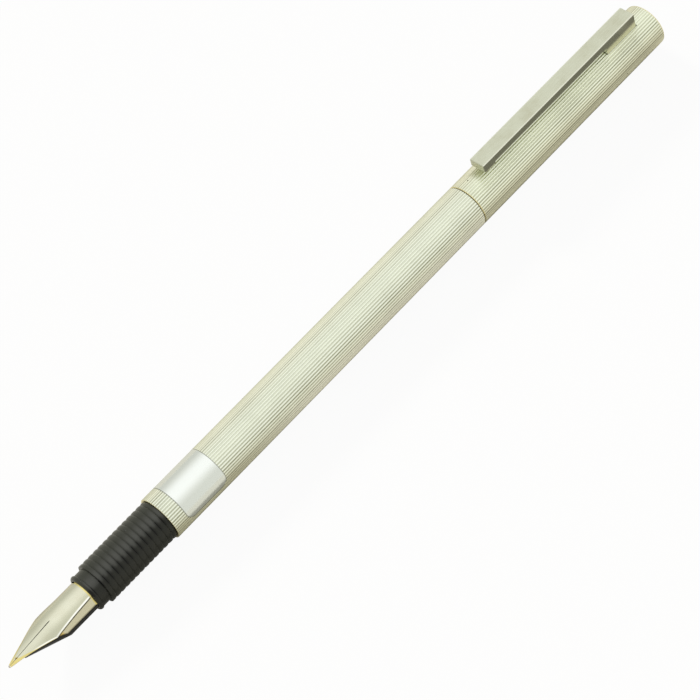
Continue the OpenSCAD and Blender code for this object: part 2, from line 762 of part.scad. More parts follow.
// Straight bar clip with its foot and the bump under its free end
module clip() {
    steps = 8;
    bump = [for (t = [0:steps])
        [clip_z + bump_l * t / steps, bump_y + (clip_under - bump_y) * pow(2 * t / steps - 1, 2)]];
    color(dark_silver) on_tail() difference() {
        intersection() {
            union() {
                from_side(clip_w) polygon([
                    [clip_z, clip_under], [clip_z, clip_top - clip_bevel], [clip_z + clip_bevel, clip_top],
                    [clip_end_z - clip_bevel, clip_top], [clip_end_z, clip_top - clip_bevel], [clip_end_z, foot_y],
                    [foot_z, foot_y], [foot_z, clip_under]
                ]);
                intersection() {
                    from_side(clip_w) polygon(concat(bump, [[clip_z + bump_l, clip_top - clip_bevel]],
                        [[clip_z, clip_top - clip_bevel]]));
                    translate([0, bump_y + bump_r, clip_z]) cylinder(r = bump_r, h = bump_l);
                }
            }
            translate([0, 0, clip_z - over]) linear_extrude(clip_l + 2 * over) polygon([
                [-clip_w / 2, foot_y - over], [clip_w / 2, foot_y - over], [clip_w / 2, clip_top - clip_bevel],
                [clip_w / 2 - clip_bevel, clip_top], [clip_bevel - clip_w / 2, clip_top],
                [-clip_w / 2, clip_top - clip_bevel]
            ]);
        }
        translate([0, pin_y, pin_z]) rotate([0, 90, 0])
            cylinder(r = pin_r + run_gap, h = 2 * clip_w, center = true);
    }
}

barrel_tube();
barrel_bush();
tail_plug();
tail_ring();
section_o_ring();
section_washer();
grip_section();
nib();
nib_tipping();
feed();
ink_nipple();
converter_tube();
converter_collar();
rod_guide();
piston_rod();
piston_seal();
converter_knob();
cap_tube();
cap_top();
inner_cap();
clip_carrier();
clip_pin();
clip_spring();
cap_screw();
clip();
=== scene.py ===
import json
import math

import bmesh
import bpy
from mathutils import Matrix, Vector


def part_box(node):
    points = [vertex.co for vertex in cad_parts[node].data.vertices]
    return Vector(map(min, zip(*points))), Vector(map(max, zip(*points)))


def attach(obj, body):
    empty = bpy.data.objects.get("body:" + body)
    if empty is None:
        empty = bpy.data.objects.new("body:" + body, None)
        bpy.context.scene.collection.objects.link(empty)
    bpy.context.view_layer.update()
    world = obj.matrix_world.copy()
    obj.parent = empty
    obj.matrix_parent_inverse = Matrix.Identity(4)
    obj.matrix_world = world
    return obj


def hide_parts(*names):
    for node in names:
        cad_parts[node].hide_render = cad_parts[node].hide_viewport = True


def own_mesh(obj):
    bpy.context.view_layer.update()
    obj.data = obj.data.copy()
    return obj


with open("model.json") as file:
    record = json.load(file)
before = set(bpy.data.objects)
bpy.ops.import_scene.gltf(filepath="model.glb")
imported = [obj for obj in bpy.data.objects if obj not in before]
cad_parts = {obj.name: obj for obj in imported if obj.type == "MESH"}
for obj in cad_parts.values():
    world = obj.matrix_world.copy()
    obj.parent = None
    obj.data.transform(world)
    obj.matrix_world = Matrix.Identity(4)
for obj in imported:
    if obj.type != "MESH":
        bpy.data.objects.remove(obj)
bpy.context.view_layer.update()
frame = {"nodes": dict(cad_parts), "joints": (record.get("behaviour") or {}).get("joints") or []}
scene = bpy.context.scene
scene.view_settings.view_transform = "Standard"
MM = 0.001


# Camera
# It stands above the pen's near side, toward the nib, and looks steeply down.
# The pen runs from the lower left of the picture to the upper right.
def add_object(name, data):
    """Puts an object with the given data in the scene."""
    made = bpy.data.objects.new(name, data)
    scene.collection.objects.link(made)
    return made


camera_place = Vector((-142.01, -166.42, 381.33)) * MM
camera_look = Vector((0.3206, 0.3763, -0.8693)).normalized()
camera_up = Vector((0.6773, 0.5505, 0.4882))
camera_right = camera_look.cross(camera_up).normalized()
camera_up = camera_right.cross(camera_look)
camera_data = bpy.data.cameras.new("camera")
camera_data.lens = 130.36
camera_data.sensor_width = 36
camera_data.clip_start = 0.01
camera = add_object("camera", camera_data)
turn = Matrix((camera_right, camera_up, -camera_look)).transposed()
camera.matrix_world = Matrix.Translation(camera_place) @ turn.to_4x4()
scene.camera = camera


# Floor and light
# The pen lies on a white sheet in a pale tent, under one broad soft light almost straight above.
# A low lamp on the far side, itself not mirrored, throws the pen's shade where its near flank mirrors it.
def feed(tree, node, terms):
    """Gives a node's inputs their terms, each a socket or a plain value."""
    for key, term in terms.items():
        if isinstance(term, bpy.types.NodeSocket):
            tree.links.new(term, node.inputs[key])
        else:
            node.inputs[key].default_value = term


def add_node(tree, kind, terms=None, **settings):
    """Adds a node with its settings and the terms of its inputs."""
    node = tree.nodes.new(kind)
    for key, value in settings.items():
        setattr(node, key, value)
    feed(tree, node, terms or {})
    return node


def calc(tree, operation, *terms):
    """Adds a Math node on sockets or numbers and returns its result."""
    return add_node(tree, "ShaderNodeMath", dict(enumerate(terms)), operation=operation).outputs[0]


def times(tree, one, two):
    """Returns the product of two sockets or numbers."""
    return calc(tree, "MULTIPLY", one, two)


def ramp(tree, value, low, high, out_low=0.0, out_high=1.0):
    """Adds a smooth step of a value from one level to another, numbers or sockets, and returns its result."""
    terms = {"Value": value, "From Min": low, "From Max": high, "To Min": out_low, "To Max": out_high}
    return add_node(tree, "ShaderNodeMapRange", terms, interpolation_type="SMOOTHSTEP").outputs[0]


def blend(tree, factor, one, two):
    """Adds a colour mix and returns its result."""
    return add_node(tree, "ShaderNodeMix", {0: factor, 6: one, 7: two}, data_type="RGBA").outputs[2]


def split(tree, place):
    """Returns the three parts of a place as sockets."""
    return add_node(tree, "ShaderNodeSeparateXYZ", {0: place}).outputs


def new_tree(owner):
    """Returns the owner's empty node tree."""
    owner.use_nodes = True
    owner.node_tree.nodes.clear()
    return owner.node_tree


WALL_LEVEL = 0.7
LIGHT_LEVEL = 1.07
SIDE_LEVEL = 0.045
WALL_TONE = (1.0, 1.005, 0.93, 1.0)
LIGHT_TONE = (1.0, 1.0, 0.985, 1.0)
SHEET_TONE = (0.42, 0.407, 0.363, 1.0)
BACKDROP_TONE = (0.97, 0.97, 0.96, 1.0)
LAMP_LEVEL = 5.5
LAMP_SPREAD = math.radians(12)
SEEN_WHITE = 0.95
MIRRORED_WHITE = 0.02
FLOOR_SPAN = 1.5
light_way = Vector((0.32, 0.18, 0.93)).normalized()
light_core = math.radians(10)
light_fade = math.radians(66)

world = bpy.data.worlds.new("studio")
scene.world = world
tree = new_tree(world)
way = add_node(tree, "ShaderNodeTexCoord").outputs["Generated"]
aim = add_node(tree, "ShaderNodeVectorMath", {0: way, 1: light_way}, operation="DOT_PRODUCT")
lit = ramp(tree, calc(tree, "ARCCOSINE", aim.outputs["Value"]), light_fade, light_core)
level = calc(tree, "MULTIPLY_ADD", lit, LIGHT_LEVEL - WALL_LEVEL, WALL_LEVEL)
level = calc(tree, "MULTIPLY_ADD", split(tree, way)["Y"], -SIDE_LEVEL, level)
sky_tone = blend(tree, lit, WALL_TONE, LIGHT_TONE)
sky = add_node(tree, "ShaderNodeBackground", {"Color": sky_tone, "Strength": level})
backdrop = add_node(tree, "ShaderNodeBackground", {"Color": BACKDROP_TONE, "Strength": 1.0})
ray = add_node(tree, "ShaderNodeLightPath").outputs
shown = add_node(
    tree, "ShaderNodeMixShader", {0: ray["Is Camera Ray"], 1: sky.outputs[0], 2: backdrop.outputs[0]}
)
add_node(tree, "ShaderNodeOutputWorld", {"Surface": shown.outputs[0]})

lamp_data = bpy.data.lights.new("sheet_lamp", "SUN")
lamp_data.energy = LAMP_LEVEL
lamp_data.angle = LAMP_SPREAD
lamp = add_object("sheet_lamp", lamp_data)
lamp_way = Vector((-0.05, 0.857, 0.515))
lamp.matrix_world = (-lamp_way).to_track_quat("-Z", "Y").to_matrix().to_4x4()
lamp.visible_glossy = False

floor_material = bpy.data.materials.new("white_floor")
tree = new_tree(floor_material)
ray = add_node(tree, "ShaderNodeLightPath").outputs
seen = times(tree, ray["Is Camera Ray"], SEEN_WHITE)
mirrored = calc(tree, "ADD", ray["Is Glossy Ray"], ray["Is Transmission Ray"])
white_share = calc(tree, "MULTIPLY_ADD", mirrored, MIRRORED_WHITE, seen)
sheet = add_node(tree, "ShaderNodeBsdfDiffuse", {"Color": SHEET_TONE})
white = add_node(tree, "ShaderNodeEmission", {"Color": (1, 1, 1, 1), "Strength": 1.0})
mixed = add_node(tree, "ShaderNodeMixShader", {0: white_share, 1: sheet.outputs[0], 2: white.outputs[0]})
add_node(tree, "ShaderNodeOutputMaterial", {"Surface": mixed.outputs[0]})

floor_mesh = bpy.data.meshes.new("floor")
corners = [(-1, -1), (1, -1), (1, 1), (-1, 1)]
floor_mesh.from_pydata([(x * FLOOR_SPAN, y * FLOOR_SPAN, 0) for x, y in corners], [], [(0, 1, 2, 3)])
floor_mesh.materials.append(floor_material)
floor = add_object("floor", floor_mesh)


# Barrel tube
# A drawn brass tube, silver plated, with fine flutes rolled along its whole length.
# A smooth panel with rounded corners is left free of flutes near the front, on top.
barrel_low, barrel_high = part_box("barrel_tube")
axis_z = (barrel_low.z + barrel_high.z) / 2
barrel_r = (barrel_high.z - barrel_low.z) / 2
barrel_front = barrel_low.x
barrel_back = barrel_high.x
barrel_wall = 0.4 * MM
barrel_edge = 0.1 * MM
flute_count = 52
flute_steps = 12
flute_depth = 0.14 * MM
flute_sharpness = 1.5
flute_skin = 0.22 * MM
panel_front = barrel_front + 2.85 * MM
panel_back = panel_front + 9.4 * MM
panel_half = math.radians(83) * barrel_r
panel_corner = 1.5 * MM
panel_line = 0.11 * MM
panel_line_depth = 0.03 * MM
far = 1.0


def spaced(start, end, step):
    """Returns places from start to end, both included, at most a step apart."""
    count = max(1, math.ceil(abs(end - start) / step - 1e-6))
    return [start + (end - start) * i / count for i in range(count + 1)]


def chained(start, *stretches):
    """Returns places from a start through stretches, each given by its end and its greatest step."""
    places = [start]
    for end, step in stretches:
        places += spaced(places[-1], end, step)[1:]
    return places


def rounded(x, r, radius, start, end, steps=4):
    """Returns the points of a rounded edge about (x, r) in the outline of a turned piece."""
    angles = [math.radians(start + (end - start) * i / steps) for i in range(steps + 1)]
    return [(x + radius * math.cos(a), r + radius * math.sin(a)) for a in angles]


def solid(name, form):
    """Turns a finished form into a mesh object of the scene."""
    mesh = bpy.data.meshes.new(name)
    form.to_mesh(mesh)
    form.free()
    return add_object(name, mesh)


def bridge(form, one, two, closed):
    """Joins two rows of points with faces; either row may be a single point."""
    count = max(len(one), len(two))
    for k in range(count if closed else count - 1):
        n = (k + 1) % count
        corners = [one[k % len(one)], one[n % len(one)], two[n % len(two)], two[k % len(two)]]
        form.faces.new(list(dict.fromkeys(corners)))


def turned(name, outline, segments):
    """Spins a closed outline of (x, radius) points round the pen's axis into a closed mesh."""
    form = bmesh.new()
    rings = []
    for x, r in outline:
        if r < 1e-9:
            rings.append([form.verts.new((x, 0, axis_z))])
            continue
        angles = [2 * math.pi * k / segments for k in range(segments)]
        rings.append([form.verts.new((x, r * math.sin(a), axis_z + r * math.cos(a))) for a in angles])
    for one, two in zip(rings, rings[1:] + rings[:1]):
        if len(one) > 1 or len(two) > 1:
            bridge(form, one, two, closed=True)
    bmesh.ops.recalc_face_normals(form, faces=form.faces)
    return solid(name, form)


def keep_shape(piece):
    """Turns what a piece's modifiers make into its plain mesh."""
    depsgraph = bpy.context.evaluated_depsgraph_get()
    made = bpy.data.meshes.new_from_object(
        piece.evaluated_get(depsgraph), preserve_all_data_layers=True, depsgraph=depsgraph
    )
    piece.modifiers.clear()
    piece.data = made
    made.name = piece.name


def bake(piece, nodes, inputs):
    """Runs a geometry tree on a piece with named inputs and keeps the result as its plain mesh."""
    modifier = piece.modifiers.new("nodes", "NODES")
    modifier.node_group = nodes
    for item in nodes.interface.items_tree:
        if item.item_type == "SOCKET" and item.in_out == "INPUT" and item.name in inputs:
            modifier[item.identifier] = inputs[item.name]
    keep_shape(piece)


def geometry_tree(name, values):
    """Returns a new geometry tree with a mesh in and out and the named inputs, and what it is given."""
    nodes = bpy.data.node_groups.new(name, "GeometryNodeTree")
    nodes.interface.new_socket("Geometry", in_out="INPUT", socket_type="NodeSocketGeometry")
    for key in values:
        nodes.interface.new_socket(key, in_out="INPUT", socket_type="NodeSocketFloat")
    nodes.interface.new_socket("Material", in_out="INPUT", socket_type="NodeSocketMaterial")
    nodes.interface.new_socket("Geometry", in_out="OUTPUT", socket_type="NodeSocketGeometry")
    return nodes, nodes.nodes.new("NodeGroupInput").outputs


def round_place(nodes, axis):
    """Returns a point's place along the axis, its two offsets from it, and its radius, as sockets."""
    along, across, rise = split(nodes, add_node(nodes, "GeometryNodeInputPosition").outputs[0])
    height = calc(nodes, "SUBTRACT", rise, axis)
    squares = [calc(nodes, "POWER", offset, 2) for offset in (across, height)]
    return along, across, height, calc(nodes, "SQRT", calc(nodes, "ADD", *squares))


def end_tree(nodes, source, material):
    """Ends a geometry tree with smooth real faces in one material."""
    smooth = add_node(nodes, "GeometryNodeSetShadeSmooth", {"Geometry": source})
    real = add_node(nodes, "GeometryNodeRealizeInstances", {"Geometry": smooth.outputs[0]})
    dressed = add_node(nodes, "GeometryNodeSetMaterial", {"Geometry": real.outputs[0], "Material": material})
    add_node(nodes, "NodeGroupOutput", {0: dressed.outputs[0]})


def sink(nodes, source, depth, across, height, radius, marks, material):
    """Moves points toward the axis by a depth, stores marks on them and ends the tree."""
    share = calc(nodes, "DIVIDE", depth, times(nodes, calc(nodes, "MAXIMUM", radius, 1e-6), -1))
    moves = {"Y": times(nodes, across, share), "Z": times(nodes, height, share)}
    shift = add_node(nodes, "ShaderNodeCombineXYZ", moves)
    for key, value in marks.items():
        terms = {"Geometry": source, "Value": value, "Name": key}
        store = add_node(nodes, "GeometryNodeStoreNamedAttribute", terms, data_type="FLOAT", domain="POINT")
        source = store.outputs[0]
    moved = add_node(nodes, "GeometryNodeSetPosition", {"Geometry": source, "Offset": shift.outputs[0]})
    end_tree(nodes, moved.outputs[0], material)


flute_values = {
    "Axis Height": axis_z, "Radius": barrel_r, "Turn": 0.0, "Flutes": flute_count,
    "Flute Depth": flute_depth, "Flute Sharpness": flute_sharpness, "Skin": flute_skin,
    "Panel Middle": (panel_front + panel_back) / 2, "Panel Half Length": (panel_back - panel_front) / 2,
    "Panel Half Width": panel_half, "Panel Corner": panel_corner,
    "Line Width": panel_line, "Line Depth": panel_line_depth,
    "Bare Front": barrel_front + barrel_edge / 2, "Bare Back": far, "Seam": barrel_back - barrel_edge,
}
flutes, given = geometry_tree("flutes_round_a_tube", flute_values)
along, across, height, radius = round_place(flutes, given["Axis Height"])
angle = calc(flutes, "SUBTRACT", calc(flutes, "ARCTAN2", across, height), given["Turn"])
phase = times(flutes, angle, given["Flutes"])
valley = calc(flutes, "MULTIPLY_ADD", calc(flutes, "COSINE", phase), -0.5, 0.5)
valley = calc(flutes, "POWER", calc(flutes, "MAXIMUM", valley, 0), given["Flute Sharpness"])
skin_low = calc(flutes, "SUBTRACT", given["Radius"], given["Skin"])
outside = calc(flutes, "GREATER_THAN", radius, skin_low)
arc = times(flutes, calc(flutes, "ABSOLUTE", angle), given["Radius"])
corner = given["Panel Corner"]
from_middle = calc(flutes, "ABSOLUTE", calc(flutes, "SUBTRACT", along, given["Panel Middle"]))
past = []
out = []
for off, half in ((from_middle, "Panel Half Length"), (arc, "Panel Half Width")):
    past.append(calc(flutes, "ADD", calc(flutes, "SUBTRACT", off, given[half]), corner))
    out.append(calc(flutes, "POWER", calc(flutes, "MAXIMUM", past[-1], 0), 2))
beyond = calc(flutes, "SQRT", calc(flutes, "ADD", *out))
within = calc(flutes, "MINIMUM", calc(flutes, "MAXIMUM", *past), 0)
rim = calc(flutes, "SUBTRACT", calc(flutes, "ADD", beyond, within), corner)
line_w = given["Line Width"]
panel = ramp(flutes, calc(flutes, "DIVIDE", rim, line_w), 0.6, -0.4)
line = ramp(flutes, calc(flutes, "ABSOLUTE", calc(flutes, "DIVIDE", rim, line_w)), 0.9, 0.1)
panel = times(flutes, panel, outside)
fade = 0.05 * MM
bare_front = ramp(flutes, calc(flutes, "SUBTRACT", along, given["Bare Front"]), fade, -fade)
bare_back = ramp(flutes, calc(flutes, "SUBTRACT", along, given["Bare Back"]), -fade, fade)
bare = calc(flutes, "MAXIMUM", bare_front, bare_back)
seam = ramp(flutes, calc(flutes, "SUBTRACT", along, given["Seam"]), -fade / 2, fade / 2)
line = calc(flutes, "MAXIMUM", times(flutes, line, outside), seam)
free = times(flutes, outside, calc(flutes, "SUBTRACT", 1, calc(flutes, "MAXIMUM", panel, bare)))
valley = times(flutes, valley, free)
depth = calc(
    flutes,
    "MAXIMUM",
    times(flutes, valley, given["Flute Depth"]),
    times(flutes, line, given["Line Depth"]),
)
flute = calc(flutes, "FLOOR", calc(flutes, "DIVIDE", phase, 2 * math.pi))
lot = add_node(flutes, "ShaderNodeTexWhiteNoise", {"W": flute}, noise_dimensions="1D")
least_dirt = 0.35
dirt = calc(flutes, "MULTIPLY_ADD", lot.outputs["Value"], 1 - least_dirt, least_dirt)
dirt = times(flutes, calc(flutes, "POWER", valley, 1.6), dirt)
sink(
    flutes, given["Geometry"], depth, across, height, radius,
    {"dirt": dirt, "panel": panel, "line": line, "bare": bare}, given["Material"],
)


def colour(r, g, b):
    """Returns a colour given as it looks on screen, from 0 to 255, as linear values."""
    shades = [c / 255 for c in (r, g, b)]
    return tuple(c / 12.92 if c < 0.0404 else ((c + 0.055) / 1.055) ** 2.4 for c in shades) + (1.0,)


def effect(name, inputs, outputs):
    """Returns a new shader group with named inputs and outputs, what it is given and its output node."""
    group = bpy.data.node_groups.new(name, "ShaderNodeTree")
    kinds = {"C": "NodeSocketColor", "F": "NodeSocketFloat", "V": "NodeSocketVector"}
    for key, kind in inputs.items():
        group.interface.new_socket(key, in_out="INPUT", socket_type=kinds[kind])
    for key, kind in outputs.items():
        group.interface.new_socket(key, in_out="OUTPUT", socket_type=kinds[kind])
    return group, group.nodes.new("NodeGroupInput").outputs, group.nodes.new("NodeGroupOutput")


def noise(tree, vector, size, detail, roughness):
    """Adds a noise of a given grain size in metres, or a socket, and returns its value."""
    scale = calc(tree, "DIVIDE", 1.0, size)
    terms = {"Vector": vector, "Scale": scale, "Detail": detail, "Roughness": roughness}
    return add_node(tree, "ShaderNodeTexNoise", terms).outputs[0]


# Old plate yellows in its hollows, in soft clouds and in pin-sized specks.
tarnish, given, result = effect(
    "tarnish",
    {"Vector": "V", "Clean": "C", "Stain": "C", "Hollow": "F", "Cloud Size": "F", "Cloud Amount": "F",
     "Speck Size": "F", "Speck Share": "F", "Roughness": "F"},
    {"Color": "C", "Roughness": "F"},
)
cloud = noise(tarnish, given["Vector"], given["Cloud Size"], detail=4.0, roughness=0.6)
cloud = times(tarnish, ramp(tarnish, cloud, 0.42, 0.7), given["Cloud Amount"])
speck_scale = calc(tarnish, "DIVIDE", 1.0, given["Speck Size"])
cells = add_node(tarnish, "ShaderNodeTexVoronoi", {"Vector": given["Vector"], "Scale": speck_scale}).outputs
lot = add_node(tarnish, "ShaderNodeSeparateColor", {0: cells["Color"]}).outputs
chosen = calc(tarnish, "LESS_THAN", lot[0], given["Speck Share"])
speck_r = calc(tarnish, "MULTIPLY_ADD", lot[1], 0.05, 0.03)
speck = times(tarnish, chosen, calc(tarnish, "LESS_THAN", cells["Distance"], speck_r))
stain = calc(tarnish, "ADD", given["Hollow"], cloud)
stain = calc(tarnish, "MINIMUM", stain, 1.0)
toned = blend(tarnish, stain, given["Clean"], given["Stain"])
spotted = blend(tarnish, times(tarnish, speck, 0.8), toned, colour(78, 74, 58))
rough = calc(tarnish, "MULTIPLY_ADD", stain, 0.14, given["Roughness"])
feed(tarnish, result, {"Color": spotted, "Roughness": calc(tarnish, "MULTIPLY_ADD", speck, 0.3, rough)})

# What faces one way round the pen, as a mask from the angle; it places wear and also painted light and shade.
turn_mask, given, result = effect(
    "turn_mask",
    {"Vector": "V", "Axis Height": "F", "Turn": "F", "Full Angle": "F", "Fade Angle": "F"},
    {"Mask": "F"},
)
parts = split(turn_mask, given["Vector"])
rise = calc(turn_mask, "SUBTRACT", parts["Z"], given["Axis Height"])
angle = calc(turn_mask, "SUBTRACT", calc(turn_mask, "ARCTAN2", parts["Y"], rise), given["Turn"])
aside = calc(turn_mask, "ARCCOSINE", calc(turn_mask, "COSINE", angle))
feed(turn_mask, result, {"Mask": ramp(turn_mask, aside, given["Fade Angle"], given["Full Angle"])})

# Fine grain of ground metal or moulded plastic, as a height and as a mask.
grain, given, result = effect(
    "grain", {"Vector": "V", "Size": "F", "Stretch": "F"}, {"Height": "F", "Mask": "F"}
)
squeeze = add_node(grain, "ShaderNodeCombineXYZ", {0: given["Stretch"], 1: 1.0, 2: 1.0})
squeezed = add_node(
    grain, "ShaderNodeVectorMath", {0: given["Vector"], 1: squeeze.outputs[0]}, operation="MULTIPLY"
)
fine = noise(grain, squeezed.outputs[0], given["Size"], detail=3.0, roughness=0.65)
feed(grain, result, {"Height": fine, "Mask": ramp(grain, fine, 0.35, 0.65)})


def new_material(name):
    """Returns a material's empty tree with a Principled shader and Object coordinates."""
    material = bpy.data.materials.new(name)
    tree = new_tree(material)
    shader = add_node(tree, "ShaderNodeBsdfPrincipled")
    add_node(tree, "ShaderNodeOutputMaterial", {"Surface": shader.outputs[0]})
    place = add_node(tree, "ShaderNodeTexCoord").outputs["Object"]
    return material, tree, shader, place


def use(tree, group, terms):
    """Places a shader group in a tree and returns its results."""
    return add_node(tree, "ShaderNodeGroup", terms, node_tree=group).outputs


def bump(tree, shader, height, distance, strength):
    """Feeds a height to the shader's normal."""
    terms = {"Height": height, "Distance": distance, "Strength": strength}
    feed(tree, shader, {"Normal": add_node(tree, "ShaderNodeBump", terms).outputs[0]})


def mark(tree, name):
    """Returns the value of a stored mark of the surface."""
    return add_node(tree, "ShaderNodeAttribute", attribute_name=name).outputs["Fac"]


def facing(tree, place, turn_angle, full_angle, fade_angle):
    """Returns the mask of what faces one way round the pen, with angles in degrees."""
    angles = {"Turn": turn_angle, "Full Angle": full_angle, "Fade Angle": fade_angle}
    terms = {key: math.radians(angle) for key, angle in angles.items()}
    return use(tree, turn_mask, terms | {"Vector": place, "Axis Height": axis_z})["Mask"]


# The plate's tones round the pen, each with the angle it faces and where its mask is full and where it fades
# out: a painted highlight, hollows lighter toward the light as wear and painted light, the span where hollows
# show, and painted shade on the near flank.
BRIGHT_TOP = (-18, 15, 62)
RUBBED_AND_LIT_FLUTES = (-5, 8, 48)
TARNISH_AND_SHADE_SPAN = (-29, 50, 78)
PAINTED_FLANK_SHADE = (-93, 12, 42)


def silver_plate(name, top_highlight, plate_tone, hollow, flank_front, flank_back, cloud_amount, darkened_to):
    """Makes the fluted plate, with yellowed flutes, darker in front of a place, a cooler smooth panel, and
    painted highlight, shade and reflection round the pen.
    """
    material, tree, shader, place = new_material(name)
    # Painted highlight: the plate takes the lighter top tone where it faces up.
    bright = facing(tree, place, *BRIGHT_TOP)
    # The hollows' tarnish is lighter where they face the light, as wear and painted light, and shows only
    # within a span round the pen.
    worn_and_lit = facing(tree, place, *RUBBED_AND_LIT_FLUTES)
    shown = facing(tree, place, *TARNISH_AND_SHADE_SPAN)
    # Painted shade on the near flank, darker toward the front, with a painted reflection lighter toward the
    # back; its hollows darken further.
    flank = facing(tree, place, *PAINTED_FLANK_SHADE)
    hollow_dark_share = times(tree, calc(tree, "MULTIPLY_ADD", worn_and_lit, -0.4, 0.85), shown)
    along = split(tree, place)["X"]
    # The hollows also darken in front of a given place.
    front_darkening = ramp(tree, along, darkened_to + 1 * MM, darkened_to, 0.0, 0.8)
    hollow_dark_share = calc(tree, "MAXIMUM", hollow_dark_share, front_darkening)
    toward_front = ramp(tree, along, darkened_to + 32 * MM, darkened_to + 8 * MM)
    plate_tone = blend(tree, flank, plate_tone, blend(tree, toward_front, flank_back, flank_front))
    deep = tuple(c * 0.45 for c in hollow[:3]) + (1.0,)
    stains = use(
        tree,
        tarnish,
        {
            "Vector": place, "Clean": blend(tree, bright, plate_tone, top_highlight),
            "Stain": blend(tree, flank, hollow, deep),
            "Hollow": times(tree, mark(tree, "dirt"), hollow_dark_share),
            "Cloud Size": 9 * MM, "Cloud Amount": cloud_amount,
            "Speck Size": 1.7 * MM, "Speck Share": 0.07, "Roughness": 0.2,
        },
    )
    panel = mark(tree, "panel")
    rimmed = blend(tree, mark(tree, "bare"), stains["Color"], colour(250, 238, 184))
    tinted = blend(tree, panel, rimmed, colour(243, 247, 243))
    # The panel's border groove and the seam at the barrel's back end are darkened; at the seam this is
    # painted shade and dirt.
    lined = blend(tree, mark(tree, "line"), tinted, colour(150, 152, 142))
    satin = use(tree, grain, {"Vector": place, "Size": 0.25 * MM, "Stretch": 0.12})
    rough = times(tree, stains["Roughness"], calc(tree, "SUBTRACT", 1.0, panel))
    rough = calc(tree, "MULTIPLY_ADD", panel, 0.14, rough)
    rough = calc(tree, "MULTIPLY_ADD", satin["Mask"], 0.04, rough)
    feed(tree, shader, {"Metallic": 1.0, "Base Color": lined, "Roughness": rough})
    bump(tree, shader, satin["Height"], 0.002 * MM, 0.4)
    return material


# The barrel's near flank is darker toward the front as painted shade, and lighter toward the back as a
# painted reflection.
barrel_silver = silver_plate(
    "silver_plate_barrel", top_highlight=colour(247, 251, 235), plate_tone=colour(238, 238, 214),
    hollow=colour(126, 125, 94), flank_front=colour(206, 203, 176), flank_back=colour(255, 253, 234),
    cloud_amount=0.06, darkened_to=panel_front,
)

line_room = 3 * panel_line
barrel_places = chained(
    barrel_front + barrel_edge,
    (panel_front - line_room, 1.0 * MM),
    (panel_front + line_room, panel_line / 2),
    (panel_front + panel_corner, 0.1 * MM),
    (panel_back - panel_corner, 1.2 * MM),
    (panel_back - line_room, 0.1 * MM),
    (panel_back + line_room, panel_line / 2),
    (barrel_back - 3 * barrel_edge, 6 * MM),
    (barrel_back - barrel_edge, barrel_edge / 2),
)
barrel_bore = barrel_r - barrel_wall
barrel_outline = rounded(barrel_front + barrel_edge, barrel_r - barrel_edge, barrel_edge, 180, 90)
barrel_outline += [(x, barrel_r) for x in barrel_places[1:-1]]
barrel_outline += rounded(barrel_back - barrel_edge, barrel_r - barrel_edge, barrel_edge, 90, 0)
barrel_outline += [(barrel_back, barrel_bore), (barrel_front, barrel_bore)]
barrel = turned("barrel", barrel_outline, flute_count * flute_steps)
bake(barrel, flutes, flute_values | {"Material": barrel_silver})
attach(barrel, "barrel")
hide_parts("barrel_tube")


# Barrel fittings
# A turned brass bush with the thread for the grip is pressed into the barrel's mouth.
# A plated plug closes the tail, and a split brass ring on its spigot grips the posted cap.
def dress(node, material):
    """Gives a node of the frame its material."""
    for place in frame["nodes"][node].material_slots:
        place.material = material


def worn_metal(name, bright, dull, roughness, lines, clouds, specks, relief):
    """Makes metal with fine lines, clouds and specks; also returns its tree, shader, place and stains."""
    material, tree, shader, place = new_material(name)
    line_size, line_stretch, line_share = lines
    ground = use(tree, grain, {"Vector": place, "Size": line_size, "Stretch": line_stretch})
    stains = use(
        tree,
        tarnish,
        {
            "Vector": place, "Hollow": times(tree, ground["Mask"], line_share),
            "Clean": bright, "Stain": dull, "Cloud Size": clouds[0], "Cloud Amount": clouds[1],
            "Speck Size": specks[0], "Speck Share": specks[1], "Roughness": roughness,
        },
    )
    feed(tree, shader, {"Metallic": 1.0, "Base Color": stains["Color"], "Roughness": stains["Roughness"]})
    bump(tree, shader, ground["Height"], *relief)
    return material, tree, shader, place, stains


def turned_metal(name, bright, dull, roughness):
    """Makes turned metal with fine tool lines round the axis."""
    made = worn_metal(
        name, bright, dull, roughness, lines=(0.6 * MM, 9.0, 0.2), clouds=(3 * MM, 0.35),
        specks=(1.2 * MM, 0.04), relief=(0.01 * MM, 0.4),
    )
    return made[0]


brass = turned_metal("turned_brass", colour(222, 190, 120), colour(158, 120, 62), 0.24)
plain_silver = turned_metal("silver_plate_plain", colour(240, 241, 234), colour(196, 194, 168), 0.2)
dress("barrel_bush", brass)
dress("tail_ring", brass)
dress("tail_plug", plain_silver)


# Seal and washer
# A rubber ring seals the shank in the barrel's mouth.
# A thin black washer fills the gap between the grip and the barrel's edge.
# Angles of painted light on the black plastic: a painted highlight over its upper side, and painted shade in
# marked grooves toward the near side.
GREY_TOP = (-1, 22, 33)
GREY_NEAR = (-43, 25, 60)
BLACK_GROOVES = (-33, 8, 20)


